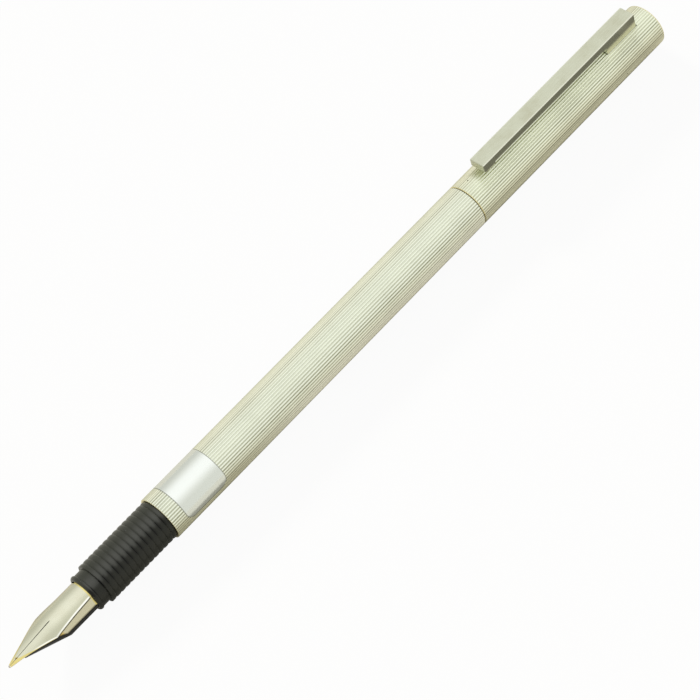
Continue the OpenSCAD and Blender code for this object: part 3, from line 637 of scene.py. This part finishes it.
def moulded(name, tone, roughness, size, height, level, shade_mark=None):
    """Makes a moulded black material with a fine grain, with a painted highlight where it faces up and
    painted shade where marked.
    """
    material, tree, shader, place = new_material(name)
    skin = use(tree, grain, {"Vector": place, "Size": size, "Stretch": 1.0})
    worn_and_lit = times(tree, facing(tree, place, *GREY_TOP), facing(tree, place, *GREY_NEAR))
    deep = tuple(c * 0.72 for c in tone[:3]) + (1.0,)
    toned = blend(tree, skin["Mask"], tone, deep)
    toned = blend(tree, worn_and_lit, toned, tuple(c + 0.024 for c in tone[:3]) + (1.0,))
    if shade_mark:
        # Painted shade in the marked places: half dark on the lit side, and fully dark in a band where the
        # lit side ends.
        narrow = times(tree, mark(tree, shade_mark), times(tree, worn_and_lit, 0.5))
        wide = calc(tree, "POWER", mark(tree, shade_mark), 0.5)
        wide = times(tree, wide, facing(tree, place, *BLACK_GROOVES))
        toned = blend(tree, calc(tree, "MAXIMUM", narrow, wide), toned, (0.0, 0.0, 0.0, 1.0))
    rough = calc(tree, "MULTIPLY_ADD", skin["Mask"], 0.1, roughness)
    feed(tree, shader, {"Base Color": toned, "Roughness": rough, "Specular IOR Level": level})
    bump(tree, shader, skin["Height"], height, 0.6)
    return material


rubber = moulded("black_rubber", colour(30, 30, 30), 0.6, 0.12 * MM, 0.01 * MM, 0.35)
grip_plastic = moulded("grip_plastic", colour(40, 41, 35), 0.2, 0.1 * MM, 0.002 * MM, 0.3)
ribbed_plastic = moulded("ribbed_plastic", colour(40, 41, 35), 0.2, 0.1 * MM, 0.002 * MM, 0.3, "furrow_shade")
dress("section_o_ring", rubber)
dress("section_washer", grip_plastic)


# Grip section
# Turned black plastic with narrow grooves between ribs for the fingers, a plain neck and a bead at the mouth.
# Its shank carries the thread that screws into the barrel's bush.
grip_low, grip_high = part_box("grip_section")
mouth_x = grip_low.x
grip_back = barrel_front - 0.29 * MM
shank_back = grip_high.x
grip_r = (grip_high.z - grip_low.z) / 2
groove_count = 13
groove_pitch = 1.133 * MM
groove_depth = 0.16 * MM
groove_sharpness = 3.0
rib_front = mouth_x + 2.5 * MM
first_groove = rib_front + 0.9 * MM
rib_slope = 0.03 * MM
rib_edge = 0.05 * MM
bead_l = 0.8 * MM
bead_front = 0.5 * MM
bead_r = 3.65 * MM
neck_r = 3.47 * MM
nib_bore_r = 3.02 * MM
mouth_wall = 0.1 * MM
shank_r = 3.39 * MM
thread_front = barrel_front + 1.0 * MM
thread_pitch = 0.9 * MM
thread_depth = 0.2 * MM
stem_bore_r = 1.62 * MM
flange_bore_r = 2.01 * MM
flange_l = 0.8 * MM
seat_x = mouth_x + 6.02 * MM

rib_values = {
    "Axis Height": axis_z, "First Groove": first_groove, "Groove Pitch": groove_pitch,
    "Grooves": groove_count, "Groove Depth": groove_depth, "Groove Sharpness": groove_sharpness,
    "Rib Front": rib_front, "Rib Base": neck_r + 0.05 * MM,
    "Bead Front": mouth_x + 0.8 * bead_front, "Bead Back": mouth_x + bead_l,
    "Thread Front": thread_front, "Thread Back": shank_back,
    "Thread Pitch": thread_pitch, "Thread Depth": thread_depth, "Thread Radius": shank_r,
}
ribs, given = geometry_tree("ribs_and_thread", rib_values)
along, across, height, radius = round_place(ribs, given["Axis Height"])
from_first = calc(ribs, "SUBTRACT", along, given["First Groove"])
groove_share = calc(ribs, "DIVIDE", from_first, given["Groove Pitch"])
half_count = times(ribs, given["Grooves"], 0.5)
on_ribs = calc(ribs, "COMPARE", calc(ribs, "ADD", groove_share, 0.5), half_count, half_count)
on_skin = calc(ribs, "GREATER_THAN", radius, given["Rib Base"])
from_groove = times(ribs, calc(ribs, "PINGPONG", groove_share, 0.5), 2.0)
groove = calc(ribs, "POWER", calc(ribs, "SUBTRACT", 1.0, from_groove), given["Groove Sharpness"])
groove = times(ribs, groove, times(ribs, on_ribs, on_skin))
# Painted shade: the mark darkens the grooves, thin lines at the first rib's step and behind the bead, and the
# bead's front face.
line_half = 0.16 * MM
furrow_shade = groove
for place_of in ("Rib Front", "Bead Back"):
    off = calc(ribs, "ABSOLUTE", calc(ribs, "SUBTRACT", along, given[place_of]))
    furrow_shade = calc(ribs, "MAXIMUM", furrow_shade, ramp(ribs, off, line_half, line_half / 4))
behind = calc(ribs, "SUBTRACT", along, given["Bead Front"])
furrow_shade = calc(ribs, "MAXIMUM", furrow_shade, ramp(ribs, behind, line_half / 2, -line_half / 2))
turn_share = calc(ribs, "DIVIDE", calc(ribs, "ARCTAN2", across, height), 2 * math.pi)
thread_start = calc(ribs, "SUBTRACT", along, given["Thread Front"])
thread_span = calc(ribs, "SUBTRACT", given["Thread Back"], given["Thread Front"])
on_thread = calc(ribs, "COMPARE", calc(ribs, "DIVIDE", thread_start, thread_span), 0.5, 0.5001)
on_shank = calc(ribs, "COMPARE", radius, given["Thread Radius"], 0.05 * MM)
helix = calc(ribs, "ADD", calc(ribs, "DIVIDE", thread_start, given["Thread Pitch"]), turn_share)
tooth = calc(ribs, "PINGPONG", times(ribs, helix, 2.0), 1.0)
tooth = ramp(ribs, tooth, 0.25, 0.85)
cut = times(ribs, tooth, times(ribs, on_thread, on_shank))
depth = calc(
    ribs,
    "ADD",
    times(ribs, groove, given["Groove Depth"]),
    times(ribs, cut, given["Thread Depth"]),
)
sink(
    ribs, given["Geometry"], depth, across, height, radius,
    {"furrow_shade": furrow_shade}, given["Material"],
)

grip_outline = [(mouth_x, nib_bore_r)]
bead_steps = 8
front_r = nib_bore_r + mouth_wall
for i in range(bead_steps + 1):
    swell = math.pi / 2 * i / bead_steps
    bead_x = mouth_x + bead_front * (1 - math.cos(swell))
    grip_outline.append((bead_x, front_r + (bead_r - front_r) * math.sin(swell)))
for i in range(1, bead_steps + 1):
    swell = math.pi / 2 * i / bead_steps
    bead_x = mouth_x + bead_front + (bead_l - bead_front) * math.sin(swell)
    grip_outline.append((bead_x, neck_r + (bead_r - neck_r) * math.cos(swell)))
neck_back = rib_front - rib_slope
neck_places = chained(mouth_x + bead_l, (neck_back - 3 * rib_edge, 0.15 * MM), (neck_back, rib_edge / 2))
grip_outline += [(x, neck_r) for x in neck_places[1:]]
grip_outline += rounded(rib_front + rib_edge, grip_r - rib_edge, rib_edge, 180, 90)
groove_step = groove_pitch / 16
last_groove = first_groove + (groove_count - 1) * groove_pitch
rib_stops = [(stop, groove_step) for stop in (first_groove, last_groove, grip_back)]
grip_outline += [(x, grip_r) for x in chained(rib_front + rib_edge, *rib_stops)[1:]]
grip_outline += [(grip_back, shank_r), (thread_front, shank_r)]
grip_outline += [(x, shank_r) for x in spaced(thread_front, shank_back, thread_pitch / 10)[1:]]
flange_x = shank_back - flange_l
grip_outline += [(shank_back, flange_bore_r), (flange_x, flange_bore_r), (flange_x, stem_bore_r)]
grip_outline += [(seat_x, stem_bore_r), (seat_x, nib_bore_r)]
grip = turned("grip", grip_outline, 96)
bake(grip, ribs, rib_values | {"Material": ribbed_plastic})
grip.data.set_sharp_from_angle(angle=math.radians(50))
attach(grip, "section")
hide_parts("grip_section")


# Nib
# Stamped from sheet metal, rolled round the feed and pressed with two raised folds that run to the shoulders.
# Its tines droop toward the tip; their edges, the tip and the underside show gold.
nib_r = 3.0 * MM
nib_sheet = 0.28 * MM
wing_angle = math.radians(77)
wing_front = 6.8 * MM
shoulder = 8.4 * MM
shoulder_half = 2.43 * MM
shoulder_angle = math.asin(shoulder_half / nib_r)
crease_angle = math.radians(39)
crease_bow = math.radians(2)
tine_end = 16.73 * MM
tip_half = 0.25 * MM
bend_start = 6.6 * MM
bend_end = 8.1 * MM
droop = math.radians(8.5)
slit_back = 7.3 * MM
slit_half = 0.072 * MM
slit_mouth = 0.25 * MM
nib_tail = -5.9 * MM
fold_height = 0.15 * MM
fold_width = 0.17 * MM


def nib_frame(s):
    """Returns the centre line's forward and down offsets and its droop at a distance from the mouth."""
    share = min(max((s - bend_start) / (bend_end - bend_start), 0.0), 1.0)
    forward, down = min(s, bend_start), 0.0
    steps = 8
    for i in range(steps):
        tilt = droop * share * (i + 0.5) / steps
        forward += math.cos(tilt) * share * (bend_end - bend_start) / steps
        down += math.sin(tilt) * share * (bend_end - bend_start) / steps
    rest = max(s - bend_end, 0.0)
    return forward + rest * math.cos(droop), down + rest * math.sin(droop), droop * share


def nib_edge(s):
    """Returns the crease's and the outer edge's angle from the top at a distance from the mouth."""
    if s >= shoulder:
        share = (s - shoulder) / (tine_end - shoulder)
        limit = math.asin((shoulder_half + (tip_half - shoulder_half) * share) / nib_r)
        return limit, limit
    share = max(s, 0.0) / shoulder
    crease = crease_angle + (shoulder_angle - crease_angle) * share - crease_bow * math.sin(math.pi * share)
    fall = min(max((s - wing_front) / (shoulder - wing_front), 0.0), 1.0)
    return crease, wing_angle + (crease - wing_angle) * fall


def eased(value, low, high):
    """Returns a smooth step of a value from nought at low to one at high."""
    share = min(max((value - low) / (high - low), 0.0), 1.0)
    return share * share * (3 - 2 * share)


def nib_point(s, side, theta, crease):
    """Returns a point of the nib's outside; past the fold the sheet runs straight to its edge."""
    x, y = math.sin(theta) * nib_r, math.cos(theta) * nib_r
    if theta > crease + 1e-6:
        share = (theta - crease) / (wing_angle - crease)
        flat_x = math.sin(crease) + (math.sin(wing_angle) - math.sin(crease)) * share
        flat_y = math.cos(crease) + (math.cos(wing_angle) - math.cos(crease)) * share
        x, y = flat_x * nib_r, flat_y * nib_r
    fold = fold_height * eased(s, 0.2 * MM, 0.9 * MM) * eased(s, shoulder + 5 * MM, shoulder + 1 * MM)
    fold *= math.exp(-((theta - crease) * nib_r / fold_width) ** 2)
    x, y = x + fold * math.sin(theta), y + fold * math.cos(theta)
    if s > slit_back:
        narrow = 1 - 0.7 * (s - slit_back) / (tine_end - slit_back)
        x = max(x, slit_half * narrow * min((s - slit_back) / slit_mouth, 1.0))
    forward, down, tilt = nib_frame(s)
    return Vector((
        mouth_x - forward - y * math.sin(tilt),
        side * x,
        axis_z - down + y * math.cos(tilt),
    ))


fold_steps = [0.0, 0.06, 0.12, 0.18, 0.25, 0.34, 0.48]
top_steps = 10
wing_steps = 5


def nib_bends(crease, limit):
    """Returns the angles of a row's points, closest together beside the fold."""
    near = [step * MM / nib_r for step in fold_steps]
    top_share = min(1.0, 0.6 * crease / near[-1])
    wing_share = min(1.0, 0.6 * (limit - crease) / near[-1])
    top = [crease - step * top_share for step in near[::-1]]
    wing = [crease + step * wing_share for step in near[1:]]
    bends = [top[0] * i / top_steps for i in range(top_steps)] + top + wing
    return bends + [wing[-1] + (limit - wing[-1]) * i / wing_steps for i in range(1, wing_steps + 1)]


nib_places = chained(
    nib_tail, (0.0, 1.0 * MM), (bend_start, 0.25 * MM), (wing_front, 0.1 * MM), (shoulder, 0.1 * MM),
    (tine_end, 0.25 * MM),
)
form = bmesh.new()
mark_names = ("past_fold", "from_rim", "from_edge", "from_tip", "from_mouth")
marks = {key: form.verts.layers.float.new(key) for key in mark_names}
nib_grid = []
for s in nib_places:
    crease, limit = nib_edge(s)
    row = []
    for side in (-1, 1):
        line_of = []
        for theta in nib_bends(crease, limit):
            vert = form.verts.new(nib_point(s, side, theta, crease))
            vert[marks["past_fold"]] = (theta - crease) * nib_r / MM
            vert[marks["from_rim"]] = (limit - theta) * nib_r / MM
            vert[marks["from_edge"]] = ((crease - theta) * nib_r + 2 * max(shoulder - s, 0.0)) / MM
            vert[marks["from_tip"]] = (tine_end - s) / MM
            vert[marks["from_mouth"]] = s / MM
            line_of.append(vert)
        row.append(line_of)
    nib_grid.append(row)
for one, two in zip(nib_grid, nib_grid[1:]):
    bridge(form, two[0], one[0], closed=False)
    bridge(form, one[1], two[1], closed=False)
for face in form.faces:
    face.smooth = True
bmesh.ops.remove_doubles(form, verts=form.verts, dist=1e-7)
bmesh.ops.dissolve_degenerate(form, edges=form.edges, dist=1e-7)
nib = solid("nib_sheet", form)

nib_gold, tree, shader, place = new_material("nib_gold")
lines = use(tree, grain, {"Vector": place, "Size": 0.2 * MM, "Stretch": 0.1})
from_slit = calc(tree, "ABSOLUTE", split(tree, place)["Y"])
# The cut edges darken beside the slit.
slit_dark = ramp(tree, from_slit, 1.6 * slit_half, 1.1 * slit_half, 0.0, 0.8)
cut_edge = blend(tree, lines["Mask"], colour(234, 216, 146), colour(218, 194, 118))
cut_edge = blend(tree, slit_dark, cut_edge, colour(66, 60, 40))
rough = calc(tree, "MULTIPLY_ADD", lines["Mask"], 0.08, 0.2)
feed(tree, shader, {"Metallic": 1.0, "Base Color": cut_edge, "Roughness": rough})

nib_plate, tree, shader, place, stains = worn_metal(
    "nib_plate", colour(227, 227, 206), colour(206, 200, 172), 0.16, lines=(0.3 * MM, 0.1, 0.06),
    clouds=(4 * MM, 0.2), specks=(0.8 * MM, 0.02), relief=(0.001 * MM, 0.3),
)
past_fold = mark(tree, "past_fold")
from_tip = mark(tree, "from_tip")
from_mouth = mark(tree, "from_mouth")
near_side = calc(tree, "LESS_THAN", split(tree, place)["Y"], 0.0)
on_wing = ramp(tree, past_fold, 0.05, 0.3)
wing_tone = blend(tree, ramp(tree, from_mouth, 6.9, 7.6), colour(229, 225, 200), colour(236, 208, 126))
tinted = blend(tree, on_wing, stains["Color"], wing_tone)
shade = times(tree, ramp(tree, mark(tree, "from_rim"), 0.34, 0.0), on_wing)
tinted = blend(tree, times(tree, shade, 0.75), tinted, colour(84, 76, 56))
# Painted highlight: a near-white line beside the fold on the near side, greyer on the far side.
crest_highlight = times(tree, ramp(tree, past_fold, -0.28, -0.16), ramp(tree, past_fold, 0.04, -0.04))
crest_highlight_tone = blend(tree, near_side, colour(204, 197, 172), colour(255, 255, 248))
tinted = blend(tree, crest_highlight, tinted, crest_highlight_tone)
# Painted shadow: a dark line just past the fold.
gutter_shadow = times(tree, ramp(tree, past_fold, 0.02, 0.08), ramp(tree, past_fold, 0.36, 0.2))
tinted = blend(tree, times(tree, gutter_shadow, 0.85), tinted, colour(84, 80, 60))
wedge = calc(tree, "MULTIPLY_ADD", near_side, 0.3, 0.2)
gold_width = calc(tree, "MULTIPLY_ADD", ramp(tree, from_tip, 6.0, 0.6), wedge, 0.05)
gilt = ramp(tree, calc(tree, "SUBTRACT", mark(tree, "from_edge"), gold_width), 0.05, -0.03)
gilt = calc(tree, "MAXIMUM", gilt, ramp(tree, from_tip, 1.4, 0.8))
# Painted reflection: a thin gold line along the nib's back edge at the mouth.
gilt = calc(tree, "MAXIMUM", gilt, ramp(tree, from_mouth, 0.34, 0.2))
feed(tree, shader, {"Base Color": blend(tree, gilt, tinted, colour(234, 219, 146))})

nib.data.materials.append(nib_plate)
nib.data.materials.append(nib_gold)
wall = nib.modifiers.new("sheet", "SOLIDIFY")
wall.thickness = nib_sheet
wall.offset = -1
wall.use_even_offset = False
wall.material_offset = 1
wall.material_offset_rim = 1
keep_shape(nib)
nib.data.set_sharp_from_angle(angle=math.radians(45))
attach(nib, "section")
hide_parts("nib")


# Tipping, feed and ink nipple
# A bead of hard metal is welded to the tip and ground round.
# The feed is moulded black plastic under the nib, and the nipple leads ink into it.
tipping = worn_metal(
    "tipping_bead", colour(222, 214, 196), colour(180, 160, 128), 0.3, lines=(0.2 * MM, 0.1, 0.12),
    clouds=(4 * MM, 0.3), specks=(0.8 * MM, 0.02), relief=(0.003 * MM, 0.4),
)[0]
feed_plastic = moulded("feed_plastic", colour(24, 24, 25), 0.35, 0.15 * MM, 0.008 * MM, 0.5)
dress("nib_tipping", tipping)
dress("feed", feed_plastic)
dress("ink_nipple", grip_plastic)


# Converter
# A clear plastic ink tube pushed on the nipple, with a steel collar and a guide at its end.
# The black knob winds a screw rod, which draws the rubber piston along the tube.
def clear_plastic(name):
    """Makes clear moulded plastic with faint flow marks."""
    material, tree, shader, place = new_material(name)
    flow = use(tree, grain, {"Vector": place, "Size": 1.2 * MM, "Stretch": 0.2})
    rough = calc(tree, "MULTIPLY_ADD", flow["Mask"], 0.05, 0.03)
    feed(tree, shader, {"Base Color": colour(244, 249, 250), "Transmission Weight": 1.0, "IOR": 1.49})
    feed(tree, shader, {"Roughness": rough})
    bump(tree, shader, flow["Height"], 0.01 * MM, 0.3)
    return material


steel = turned_metal("bright_steel", colour(214, 216, 216), colour(168, 168, 164), 0.22)
dress("converter_tube", clear_plastic("clear_plastic"))
dress("converter_collar", steel)
dress("rod_guide", grip_plastic)
dress("piston_rod", steel)
dress("piston_seal", rubber)
dress("converter_knob", grip_plastic)


# Cap tube
# Drawn and fluted as the barrel is, a little more yellowed, with a bevelled lip and a rounded end.
# A slot near the end lets the clip's foot through; the cap sits posted on the tail, turned a little.
clip_joint = next(joint for joint in frame["joints"] if joint["name"] == "clip_lift")
clip_side = Vector(clip_joint["axis"])
clip_up = Vector((1, 0, 0)).cross(clip_side)
cap_angle = math.atan2(clip_up.y, clip_up.z)
cap_low, cap_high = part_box("cap_tube")
cap_front = cap_low.x
cap_back = cap_high.x
cap_wall = 0.3 * MM
cap_bore = barrel_r - cap_wall
lip_l = 0.14 * MM
lip_depth = 0.07 * MM
clip_low, clip_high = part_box("clip")
clip_front = clip_low.x
clip_back = clip_high.x
foot_l = 8.1 * MM
foot_front = clip_back - foot_l
slot_half = 1.625 * MM
slot_front = foot_front - 0.08 * MM
slot_back = clip_back + 0.22 * MM

# Painted shade: the cap's near flank takes one darker tone along its length.
cap_flank_shade = colour(222, 219, 192)
cap_silver = silver_plate(
    "silver_plate_cap", top_highlight=colour(249, 253, 232), plate_tone=colour(238, 236, 208),
    hollow=colour(116, 114, 84), flank_front=cap_flank_shade, flank_back=cap_flank_shade,
    cloud_amount=0.1, darkened_to=cap_front - 2 * MM,
)


def on_cap(x, side, rise):
    """Returns the place on the turned cap at a distance along it, to its side and above its axis."""
    return Vector((x, 0, axis_z)) + clip_side * side + clip_up * rise


def block(name, places):
    """Makes a closed six-sided mesh object from eight corners, four at each end."""
    sides = [(0, 1, 2, 3), (7, 6, 5, 4), (0, 4, 5, 1), (1, 5, 6, 2), (2, 6, 7, 3), (3, 7, 4, 0)]
    form = bmesh.new()
    verts = [form.verts.new(p) for p in places]
    for side in sides:
        form.faces.new([verts[i] for i in side])
    bmesh.ops.recalc_face_normals(form, faces=form.faces)
    return solid(name, form)


def carve(piece, cutter):
    """Cuts one object out of another, keeps the plain mesh and removes the cutter."""
    cut = piece.modifiers.new("cut", "BOOLEAN")
    cut.operation = "DIFFERENCE"
    cut.object = cutter
    cut.solver = "EXACT"
    keep_shape(piece)
    bpy.data.objects.remove(cutter)


cap_outline = [(cap_front, barrel_r - lip_depth)]
lip_steps = 5
for i in range(1, lip_steps + 1):
    share = i / lip_steps
    cap_outline.append((cap_front + lip_l * share, barrel_r - lip_depth * (1 - share) ** 1.6))
cap_rim = cap_back - 0.22 * MM
cap_places = chained(
    cap_front + lip_l, (cap_front + 3 * lip_l, 0.04 * MM), (cap_rim - lip_l, 5 * MM),
    (cap_back - cap_wall, 0.05 * MM),
)
cap_outline += [(x, barrel_r) for x in cap_places[1:-1]]
cap_outline += rounded(cap_back - cap_wall, cap_bore, cap_wall, 90, 0, 6)
cap_outline += [(cap_front, cap_bore)]
cap = turned("cap", cap_outline, flute_count * flute_steps)
slot_low = 2 * MM
slot_high = 2 * barrel_r
slot_sides = [(-slot_half, slot_low), (slot_half, slot_low), (slot_half, slot_high), (-slot_half, slot_high)]
slot_cutter = block("slot", [on_cap(x, s, h) for x in (slot_front, slot_back) for s, h in slot_sides])
carve(cap, slot_cutter)
cap_changes = {
    "Turn": cap_angle, "Panel Middle": -far, "Panel Half Length": 0.0,
    "Bare Front": cap_front + lip_l, "Bare Back": cap_rim, "Seam": far, "Material": cap_silver,
}
bake(cap, flutes, flute_values | cap_changes)
cap.data.set_sharp_from_angle(angle=math.radians(60))
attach(cap, "cap")
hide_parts("cap_tube")


# Cap fittings
# A plated disc closes the end; behind it a brass block carries the clip's pin and coil spring.
# A black liner, held by a screw, keeps the nib moist when the pen is capped.
dress("cap_top", plain_silver)
dress("clip_carrier", brass)
dress("clip_pin", steel)
dress("cap_screw", steel)
dress("inner_cap", grip_plastic)


# Clip spring
# A coil of steel wire that stands in the carrier's pocket and pushes up the clip's foot.
spring_low, spring_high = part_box("clip_spring")
spring_foot = -2.39 * MM
spring_head = 1.49 * MM
spring_r = 1.1 * MM
wire_r = 0.175 * MM
spring_turns = 4

coil_values = {
    "Turns": spring_turns, "Coil Radius": spring_r, "Height": spring_head - spring_foot - 2 * wire_r,
    "Wire Radius": wire_r,
}
coil, given = geometry_tree("coil_of_wire", coil_values)
path = add_node(
    coil,
    "GeometryNodeCurveSpiral",
    {
        "Rotations": given["Turns"], "Height": given["Height"], "Start Radius": given["Coil Radius"],
        "End Radius": given["Coil Radius"], "Resolution": 32,
    },
)
section = add_node(
    coil, "GeometryNodeCurvePrimitiveCircle", {"Radius": given["Wire Radius"], "Resolution": 10}
)
wire = add_node(
    coil,
    "GeometryNodeCurveToMesh",
    {"Curve": path.outputs[0], "Profile Curve": section.outputs[0], "Fill Caps": True},
)
end_tree(coil, wire.outputs[0], given["Material"])
spring = add_object("clip_coil", bpy.data.meshes.new("clip_coil"))
bake(spring, coil, coil_values | {"Material": steel})
spring_x = (spring_low.x + spring_high.x) / 2
stand = Matrix((Vector((1, 0, 0)), clip_side, clip_up)).transposed().to_4x4()
spring.data.transform(Matrix.Translation(on_cap(spring_x, 0, spring_foot + wire_r)) @ stand)
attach(spring, "cap")
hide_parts("clip_spring")
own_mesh(spring)


# Clip
# A straight bar cut from one piece of metal, matte on top, with crisp edges that shine where they wear.
# A rounded bump under its free end presses on the cap, and its foot turns on the pin inside.
clip_half = 1.6 * MM
clip_top = 7.16 * MM
clip_under = 5.56 * MM
clip_bevel = 0.1 * MM
worn_width = 0.18 * MM
foot_under = 1.5 * MM
bump_l = 3.0 * MM
bump_low = 4.45 * MM
bump_r = 2.2 * MM
pin_low, pin_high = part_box("clip_pin")
pin_hole_r = 0.64 * MM


def clip_floor(x, side):
    """Returns the height of the bar's underside, with its bump under the free end."""
    share = (x - clip_front) / bump_l
    if share >= 1.0:
        return clip_under
    dip = bump_low + (clip_under - bump_low) * (2 * share - 1) ** 2
    barrel_shape = bump_low + bump_r - math.sqrt(bump_r ** 2 - side ** 2)
    return max(dip, barrel_shape)


def foot_floor(x, side):
    """Returns the height of the foot's underside."""
    return foot_under


def clip_ring(x, floor, inset):
    """Returns the points round the bar's section at a place."""
    half = clip_half - inset
    top = clip_top - inset
    low = floor(x, half) + inset
    flat = half - clip_bevel
    flank = [
        (half, top - clip_bevel), (half, top - clip_bevel - worn_width),
        (half, low + clip_bevel + worn_width), (half, low + clip_bevel),
    ]
    over = [(flat, top), (flat - worn_width, top)]
    points = [(-s, h) for s, h in flank[::-1] + over] + over[::-1] + flank
    spread = [share * flat for share in (1, 0.85, 0.45, 0, -0.45, -0.85, -1)]
    points += [(s, floor(x, s) + inset) for s in spread]
    return [on_cap(x, s, h) for s, h in points]


clip_places = [(clip_front, clip_floor, clip_bevel)]
clip_places += [(x, clip_floor, 0.0) for x in spaced(clip_front + clip_bevel, clip_front + bump_l, 0.15 * MM)]
clip_places += [(x, clip_floor, 0.0) for x in spaced(clip_front + bump_l, foot_front, 4 * MM)[1:]]
clip_places += [(x, foot_floor, 0.0) for x in spaced(foot_front, clip_back - clip_bevel, 2 * MM)]
clip_places += [(clip_back, foot_floor, clip_bevel)]
form = bmesh.new()
clip_rings = [[form.verts.new(point) for point in clip_ring(*stop)] for stop in clip_places]
for one, two in zip(clip_rings, clip_rings[1:]):
    bridge(form, one, two, closed=True)
form.faces.new(clip_rings[0])
form.faces.new(clip_rings[-1][::-1])
bmesh.ops.remove_doubles(form, verts=form.verts, dist=1e-7)
bmesh.ops.recalc_face_normals(form, faces=form.faces)
clip = solid("clip_bar", form)


def rod(name, start, end, r):
    """Makes a closed round rod between two places."""
    form = bmesh.new()
    stand = (end - start).to_track_quat("Z", "Y").to_matrix().to_4x4()
    bmesh.ops.create_cone(
        form, cap_ends=True, segments=40, radius1=r, radius2=r, depth=(end - start).length,
        matrix=Matrix.Translation((start + end) / 2) @ stand,
    )
    return solid(name, form)


pin_middle = (pin_low + pin_high) / 2
pin_reach = clip_side * 2 * clip_half
carve(clip, rod("pin_hole", pin_middle - pin_reach, pin_middle + pin_reach, pin_hole_r))


def paint(mesh, name, rule):
    """Stores a mark worked out from each point's place along the cap, to its side and above its axis."""
    values = []
    for vert in mesh.vertices:
        offset = vert.co - Vector((0, 0, axis_z))
        values.append(rule(offset.x, offset.dot(clip_side), offset.dot(clip_up)))
    mesh.attributes.new(name, "FLOAT", "POINT").data.foreach_set("value", values)


def on_flank(x, side, rise):
    """Tells the bar's two flanks from the rest."""
    return 1.0 if abs(side) > clip_half - clip_bevel / 2 else 0.0


def on_edge(x, side, rise):
    """Tells the bar's four long edges from the rest."""
    floor_of = foot_floor if x > foot_front - 1e-6 else clip_floor
    low = floor_of(x, min(abs(side), clip_half)) + 1.2 * clip_bevel
    outer = abs(side) > clip_half - 1.2 * clip_bevel
    return 1.0 if outer and (rise > clip_top - 1.2 * clip_bevel or rise < low) else 0.0


paint(clip.data, "flank", on_flank)
paint(clip.data, "worn", on_edge)

clip_metal, tree, shader, place, stains = worn_metal(
    "clip_metal", colour(223, 226, 207), colour(190, 186, 158), 0.34, lines=(0.14 * MM, 0.08, 0.18),
    clouds=(6 * MM, 0.3), specks=(1.6 * MM, 0.06), relief=(0.003 * MM, 0.2),
)
flank = mark(tree, "flank")
rise = add_node(tree, "ShaderNodeVectorMath", {0: place, 1: clip_up}, operation="DOT_PRODUCT")
rise = calc(tree, "SUBTRACT", rise.outputs["Value"], axis_z * clip_up.z)
# Painted shade and reflection on the flanks: light near the bottom, darker higher up and darker still toward
# the rear.
toward_rear = ramp(tree, split(tree, place)["X"], clip_back - 6 * MM, clip_back - 1 * MM)
upper_flank_shade = blend(tree, toward_rear, colour(172, 174, 156), colour(124, 124, 108))
flank_shade_tone = blend(tree, ramp(tree, rise, 4.9 * MM, 5.7 * MM), colour(210, 207, 182), upper_flank_shade)
shaded_flanks = blend(tree, flank, stains["Color"], flank_shade_tone)
shine = times(tree, calc(tree, "POWER", mark(tree, "worn"), 2.0), 0.9)
rough = times(tree, stains["Roughness"], calc(tree, "MULTIPLY_ADD", flank, -0.65, 1.0))
feed(tree, shader, {"Base Color": blend(tree, shine, shaded_flanks, colour(252, 252, 238)), "Roughness": rough})
clip.data.materials.append(clip_metal)
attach(clip, "clip")
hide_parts("clip")
